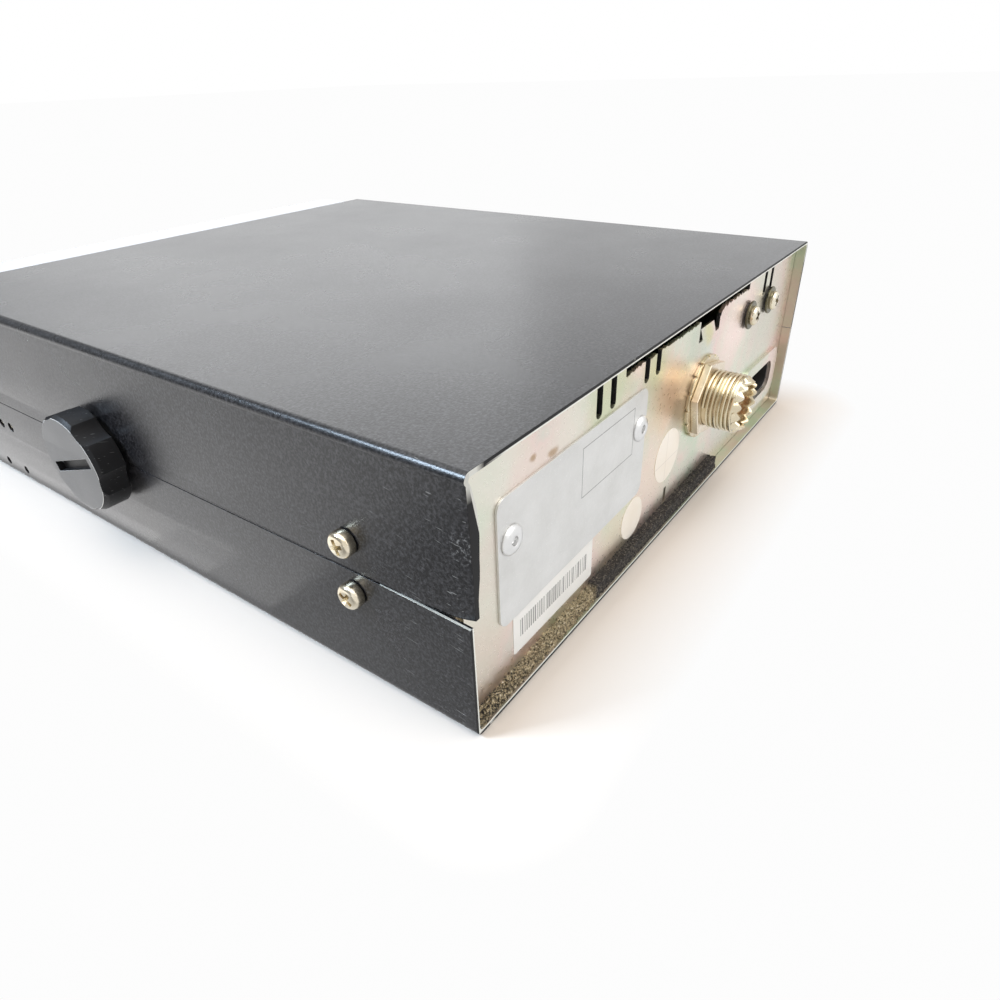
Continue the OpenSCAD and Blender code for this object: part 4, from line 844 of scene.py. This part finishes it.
def barrelPiece(s):
    core, end = s["core"], s["mouth"]
    profile = [(4.8, 97), (10.4, 97), (10.4, 99), (7.4, 99), (7.4, 103.0), (core, 103.1), (core, end - 2.1),
               (7.72, end - 1.95), (7.72, end - 1.75), (6.75, end - 0.45), (6.6, end), (6.0, end),
               (5.85, end - 0.45), (5.8, end - 1.6), (5.8, 104.2), (4.8, 104.2)]
    bm = turned(profile, s["teeth"] * 12, True)
    for v in bm.verts:
        if v.co.z / mm > end - 0.6:
            phase = math.atan2(v.co.y, v.co.x) * s["teeth"] / (2 * math.pi) % 1
            notch = max(0.0, (abs(2 * phase - 1) - 0.2) / 0.8)
            v.co.z -= notch * s["toothDeep"] * mm
    bm.transform(Matrix.Translation(Vector(s["centre"]) * mm) @ toRear)
    obj = objectFrom("antennaBarrel", bm, socketNickel)
    smoothEdges(obj, 28)
    return standFor(obj, "antenna_socket")


def threadTree():
    tree, given, result = geometryTree("rolledThread", Radius="Float", Height="Float", Turns="Float", Ridge="Float",
                                       Finish="Material")
    spiral = addNode(tree, "GeometryNodeCurveSpiral", {
        "Resolution": 64, "Rotations": given["Turns"], "Start Radius": given["Radius"],
        "End Radius": given["Radius"], "Height": given["Height"]})
    ridge = addNode(tree, "GeometryNodeCurvePrimitiveCircle", {"Resolution": 8, "Radius": given["Ridge"]})
    sweep = addNode(tree, "GeometryNodeCurveToMesh", {
        "Curve": spiral.outputs[0], "Profile Curve": ridge.outputs[0], "Fill Caps": True})
    return endTree(tree, given, result, sweep)


def threadPiece(s):
    length = s["to"] - s["from"]
    obj = treeMesh("antennaThread", bpy.data.meshes.new("antennaThread"), threadTree(), 40,
                   Radius=(s["core"] + 0.06) * mm, Height=length * mm, Turns=length / s["pitch"],
                   Ridge=s["thread"] * mm, Finish=socketNickel)
    start = Vector(s["centre"]) + Vector((0, s["from"], 0))
    obj.data.transform(Matrix.Translation(start * mm) @ toRear)
    return standFor(obj, body="radio", slot="nickel")


def moveFace(obj, beyond, shift):
    for v in obj.data.vertices:
        if v.co.y > beyond:
            v.co.y += shift * mm


barrelPiece(antennaShape)
threadPiece(antennaShape)
nut = easedPiece("antenna_nut", nutNickel, 0.35, 3)  # a thin nut
moveFace(nut, sum(v.co.y for v in nut.data.vertices) / len(nut.data.vertices), antennaShape["nutFront"])
easedPiece("antenna_lock_washer", socketNickel, 0.15)
easedPiece("antenna_contact", copper)
insulator = easedPiece("antenna_insulator", creamPlastic)  # its face stands close behind the mouth
moveFace(insulator, antennaShape["faceFrom"] * mm, antennaShape["face"])
print("antenna socket made")


def easedPieces(material, width, segments, nodes):
    return [easedPiece(node, material, width, segments) for node in nodes.split()]


# other rear fittings
for material, width, node in (
        (socketPlastic, 0.2, "power_socket"), (copper, 0.25, "power_pins"), (socketPlastic, 0.2, "speaker_jack"),
        (chrome, 0.2, "jack_nut"), (labelPaper, 0.03, "paper_label"), (sealPaper, 0.03, "round_stickers")):
    easedPiece(node, material, width)

# thumb screws; the knobs' outer faces are a paler grey, and a light strip on their rims is a painted highlight
thumbFace = 99.6
for knob in easedPieces(thumbPlastic, 0.7, 4, "thumb_knob_right thumb_knob_left"):
    faceFinish(knob, knobFace, lambda c, n: abs(c.x) > thumbFace and abs(n.x) > 0.95)
    faceFinish(knob, knobRim, lambda c, n: abs(c.x) > thumbFace and 0.72 < abs(n.x) < 0.95)
easedPieces(socketPlastic, 0.2, 2, "thumb_washer_right thumb_washer_left")
easedPieces(chrome, 0.2, 2, "thumb_stud_right thumb_stud_left")

# front
for material, width, nodes in (
        (silverPlastic, 0.6, "front_bezel"), (knobPlastic, 0.4, "channel_knob"),
        (knobPlastic, 0.35, "volume_knob squelch_knob gain_knob"),
        (chrome, 0.3, "toggle_lever_1 toggle_lever_2 mic_socket"), (copper, 0.2, "mic_pins"),
        (redPlastic, 0.2, "indicator_lamps"), (redPlastic, 0.05, "meter_needle"), (clearLens, 0.2, "meter_lens"),
        (redLens, 0.2, "channel_lens")):
    easedPieces(material, width, 3, nodes)

# printed and moulded marks of the front: bars set round an axis, plain numerals, lit digits, knob pointers
frontMarks = {
    "face": -123.5, "dial": -109.3, "pivot": (-58, 35.1), "swing": 40, "tickRadius": 10.2, "zoneRadius": 8.4,
    "wordRadius": 12.7, "levers": (16, 30), "words": (("ON", 50.6), ("OFF", 32.4)),
    "digits": (("1", -15), ("9", -1)), "digitPlane": -120.5, "digitZ": 41.5}
knobMarks = [  # name, x, z, radius, front plane
    ("volume", -40, 15, 7.5, -138.3),
    ("squelch", -8, 15, 7.5, -138.3),
    ("gain", 24, 15, 7.5, -138.3),
    ("channel", 68, 35, 15, -141.3)]
segmentPlaces = {
    "a": (0, 4.2, 90), "b": (2.3, 2.1, 0), "c": (2.3, -2.1, 0), "d": (0, -4.2, 90), "f": (-2.3, 2.1, 0),
    "g": (0, 0, 90)}
litSegments = {"1": "bc", "9": "abcdfg"}


def frontSpot(x, y, z, angle):
    return Vector((x, y, z)) * mm, (toFront @ spun(-angle)).to_euler()


def onRing(x, z, radius, angle):
    return x + radius * math.sin(math.radians(angle)), z + radius * math.cos(math.radians(angle))


def ringSpots(x, y, z, radius, angles):
    places = [(*onRing(x, z, radius, a), a) for a in angles]
    return [frontSpot(px, y, pz, a) for px, pz, a in places]


def barPiece(name, size, spots, material, slot, body="radio"):
    bm = unitCube()
    bm.transform(Matrix.Diagonal((*(d * mm for d in size), 1)))
    return standFor(scattered(name, objectFrom("barTemplate", bm), spots, material), body=body, slot=slot)


def numeralPiece(name, words, y):
    bm = bmesh.new()
    for word, size, x, z in words:
        curve = bpy.data.curves.new(name, "FONT")
        curve.body, curve.size, curve.align_x, curve.align_y = word, size * mm, "CENTER", "CENTER"
        curve.extrude, curve.resolution_u = 0.04 * mm, 3
        holder = bpy.data.objects.new(name, curve)
        scene.collection.objects.link(holder)
        graph = bpy.context.evaluated_depsgraph_get()
        mesh = bpy.data.meshes.new_from_object(holder.evaluated_get(graph))
        mesh.transform(Matrix.Translation(Vector((x, y, z)) * mm) @ toFront)
        bm.from_mesh(mesh)
        bpy.data.objects.remove(holder)
        bpy.data.curves.remove(curve)
        bpy.data.meshes.remove(mesh)
    bmesh.ops.remove_doubles(bm, verts=bm.verts, dist=1e-6)
    return standFor(objectFrom(name, bm, markBlack), body="radio", slot="black_plastic")


def frontPieces(s):
    ticks = []
    for name, x, z, r, plane in knobMarks:
        angles = range(0, 360, 30) if name == "channel" else range(-150, 151, 30)
        ticks += ringSpots(x, s["face"], z, r + 2.4, angles)
    barPiece("knobTicks", (0.4, 1.5, 0.08), ticks, markBlack, "black_plastic")
    x, z = s["pivot"]
    scale = range(-s["swing"], s["swing"] + 1, 10)
    ticks = ringSpots(x, s["dial"], z, s["tickRadius"], scale)
    barPiece("meterTicks", (0.3, 1.6, 0.08), ticks, markBlack, "black_plastic")
    zone = ringSpots(x, s["dial"], z, s["zoneRadius"], [a / 2 for a in range(36, 81, 3)])
    barPiece("meterZone", (0.23, 0.7, 0.08), zone, redPlastic, "red_plastic")
    words = [(str(k + 1), 2.3, *onRing(x, z, s["wordRadius"], a)) for k, a in enumerate(scale) if k % 2 == 0]
    numeralPiece("meterNumerals", words, s["dial"])
    words = [(word, 2.1, x, z) for x in s["levers"] for word, z in s["words"]]
    numeralPiece("switchWords", words, s["face"])
    segments = [frontSpot(x + dx, s["digitPlane"], s["digitZ"] + dz, turn) for digit, x in s["digits"]
                for dx, dz, turn in (segmentPlaces[key] for key in litSegments[digit])]
    barPiece("displayDigits", (0.9, 3.5, 0.3), segments, digitGlow, "red_plastic")
    for name, x, z, r, plane in knobMarks:  # white fill of the groove in each knob's face
        spot = ringSpots(x, plane + 0.36, z, r * 0.5, [210])
        barPiece(name + "Pointer", (0.94, r * 0.4 - 0.08, 0.62), spot, markWhite, "white_plastic",
                 bodyOfNode(name + "_knob"))
    print("front marks set")


frontPieces(frontMarks)

# inside: the CAD solids as they are
insideFinish = [
    (zinc, "weld_nuts small_nuts inner_screws control_nuts mic_nut"),
    (socketPlastic, "power_transistors toggle_bodies channel_display"),
    (steel, "control_pots channel_switch speaker_frame"),
    (chrome, "channel_shaft volume_shaft squelch_shaft gain_shaft"),
    (dialWhite, "meter_case"),
    (boardGreen, "main_board"),
    (aluminium, "coil_cans"),
    (sleeveBlue, "capacitors"),
    (conePaper, "speaker_cone")]
insideNodes = [(node, finish) for finish, nodes in insideFinish for node in nodes.split()]
for node, finish in insideNodes:
    cadNodes[node].data.materials[0] = finish
print("carried-over solids finished:", len(insideNodes))

# stage: pale floor, soft light; the room is darker towards +X -Y, as the bend of the cover shows
stageLook = {
    "floor": 0.66, "tints": ((1.04, 0.95, 0.87), (1.02, 0.93, 0.85)), "size": 6, "gap": 0.0002,
    "foot": (0.093, 0.106, 1), "fade": 0.024, "seen": 0.98, "mirrorLow": 0.12, "mirrorFoot": 0.3, "mirrorFar": 0.6,
    "mirrorWide": 0.04, "farY": (-20, 70), "footY": (60, 95), "endY": (112, 100), "worldFill": 0.34,
    "shade": (0.61, -0.71, 0.35), "shadeEdge": (0.47, 0.64), "shadeLevel": 0.12}
lamps = [
    ("overheadSoftbox", (0.1, 0.1, 1.6), 2.2, 2.2, 34, (1.0, 0.978, 0.945)),
    ("backSoftbox", (-1.15, -1.15, 0.5), 3.2, 0.7, 2.6, (0.96, 0.98, 1.0)),
    ("highBackSoftbox", (-0.73, -1.06, 0.75), 1.2, 0.68, 2.9, (0.97, 0.985, 1.0)),
    ("windowSoftbox", (0.75, -0.62, 0.95), 0.36, 0.36, 22, (0.66, 0.82, 1.0)),
    ("rearFill", (-0.4, 1.3, 0.8), 1.0, 1.0, 6, (1.0, 0.98, 0.96))]
# bright floor beside the +X wall, fading out towards the rear corner
floorCard = {
    "x": 0.264, "wide": 0.34, "start": -0.32, "ends": (0.04, 0.015, -0.01), "lift": 0.0008, "glow": 0.54,
    "colour": (1.0, 0.99, 0.98)}


def floorFinish(s):
    f = Finish("paleFloor", Roughness=0.9, Specular_IOR_Level=0.1)
    light, dark = (tuple(s["floor"] * c for c in tint) for tint in s["tints"])
    f.feed("Base Color", f.mixed(f.grain(60, 2)["Cloud"], light, dark))
    outside = vectorNode(f.tree, "SUBTRACT", vectorNode(f.tree, "ABSOLUTE", f.place), s["foot"])
    apart = vectorNode(f.tree, "LENGTH", vectorNode(f.tree, "MAXIMUM", outside, (0, 0, 0)))
    path = addNode(f.tree, "ShaderNodeLightPath").outputs
    seen = f.product(path["Is Camera Ray"], f.ranged(apart, 0, s["fade"]))
    seen = f.either(f.either(seen, path["Is Glossy Ray"]), path["Is Transmission Ray"])
    # the +X wall mirrors a darker floor towards its rear: painted shade on the floor's glow, seen only in
    # reflections
    wall = s["foot"][0]
    far = f.ranged(f.axis(0), wall, wall + s["mirrorWide"], 0, s["mirrorFar"])
    foot = f.along(1, *s["footY"], s["mirrorLow"], s["mirrorFoot"])
    beside = f.product(f.along(1, *s["endY"]), f.either(f.product(f.along(1, *s["farY"]), far), foot))
    level = f.either(path["Is Camera Ray"], f.math("SUBTRACT", 1, beside))
    glow = addNode(f.tree, "ShaderNodeEmission", {"Strength": f.product(level, s["seen"])})
    blend = addNode(f.tree, "ShaderNodeMixShader", {0: seen, 1: f.shader.outputs[0], 2: glow.outputs[0]})
    f.tree.links.new(blend.outputs[0], f.tree.nodes["Material Output"].inputs["Surface"])
    return f.material


def makeFloor(s):
    bm = bmesh.new()
    bmesh.ops.create_grid(bm, x_segments=2, y_segments=2, size=s["size"])
    bm.transform(Matrix.Translation((0, 0, -s["gap"])))
    floor = objectFrom("paleFloor", bm, floorFinish(s))


def makeWorld(s):
    world = bpy.data.worlds.new("studio")
    scene.world = world
    world.use_nodes = True
    tree = world.node_tree
    path = addNode(tree, "ShaderNodeLightPath").outputs
    facing = vectorNode(tree, "DOT_PRODUCT", addNode(tree, "ShaderNodeTexCoord").outputs["Generated"], s["shade"])
    mirrored = rangeNode(tree, facing, *s["shadeEdge"], 1.0, s["shadeLevel"])
    glossy = mathNode(tree, "ADD", path["Is Glossy Ray"], path["Is Transmission Ray"], clamp=True)
    level = mathNode(tree, "ADD", mathNode(tree, "MULTIPLY", glossy, mirrored), path["Is Camera Ray"], clamp=True)
    back = tree.nodes["Background"].inputs
    give(tree, back["Color"], (1, 1, 1))
    give(tree, back["Strength"], mathNode(tree, "MAXIMUM", level, s["worldFill"]))


def makeLamp(name, place, wide, tall, power, colour, target=(0, 0.03, 0.03)):
    data = bpy.data.lights.new(name, "AREA")
    data.shape, data.size, data.size_y, data.energy, data.color = "RECTANGLE", wide, tall, power, colour
    lamp = bpy.data.objects.new(name, data)
    lamp.location = place
    lamp.rotation_euler = (Vector(target) - Vector(place)).to_track_quat("-Z", "Y").to_euler()
    scene.collection.objects.link(lamp)


def makeCards(c):
    for k, end in enumerate(c["ends"]):
        tall, middle = end - c["start"], (end + c["start"]) / 2
        power = c["glow"] * math.pi * c["wide"] * tall
        makeLamp("floorCard%d" % k, (c["x"], middle, c["lift"]), c["wide"], tall, power, c["colour"],
                 (c["x"], middle, 1))


makeFloor(stageLook)
makeWorld(stageLook)
for lamp in lamps:
    makeLamp(*lamp)
makeCards(floorCard)
print("stage lit")
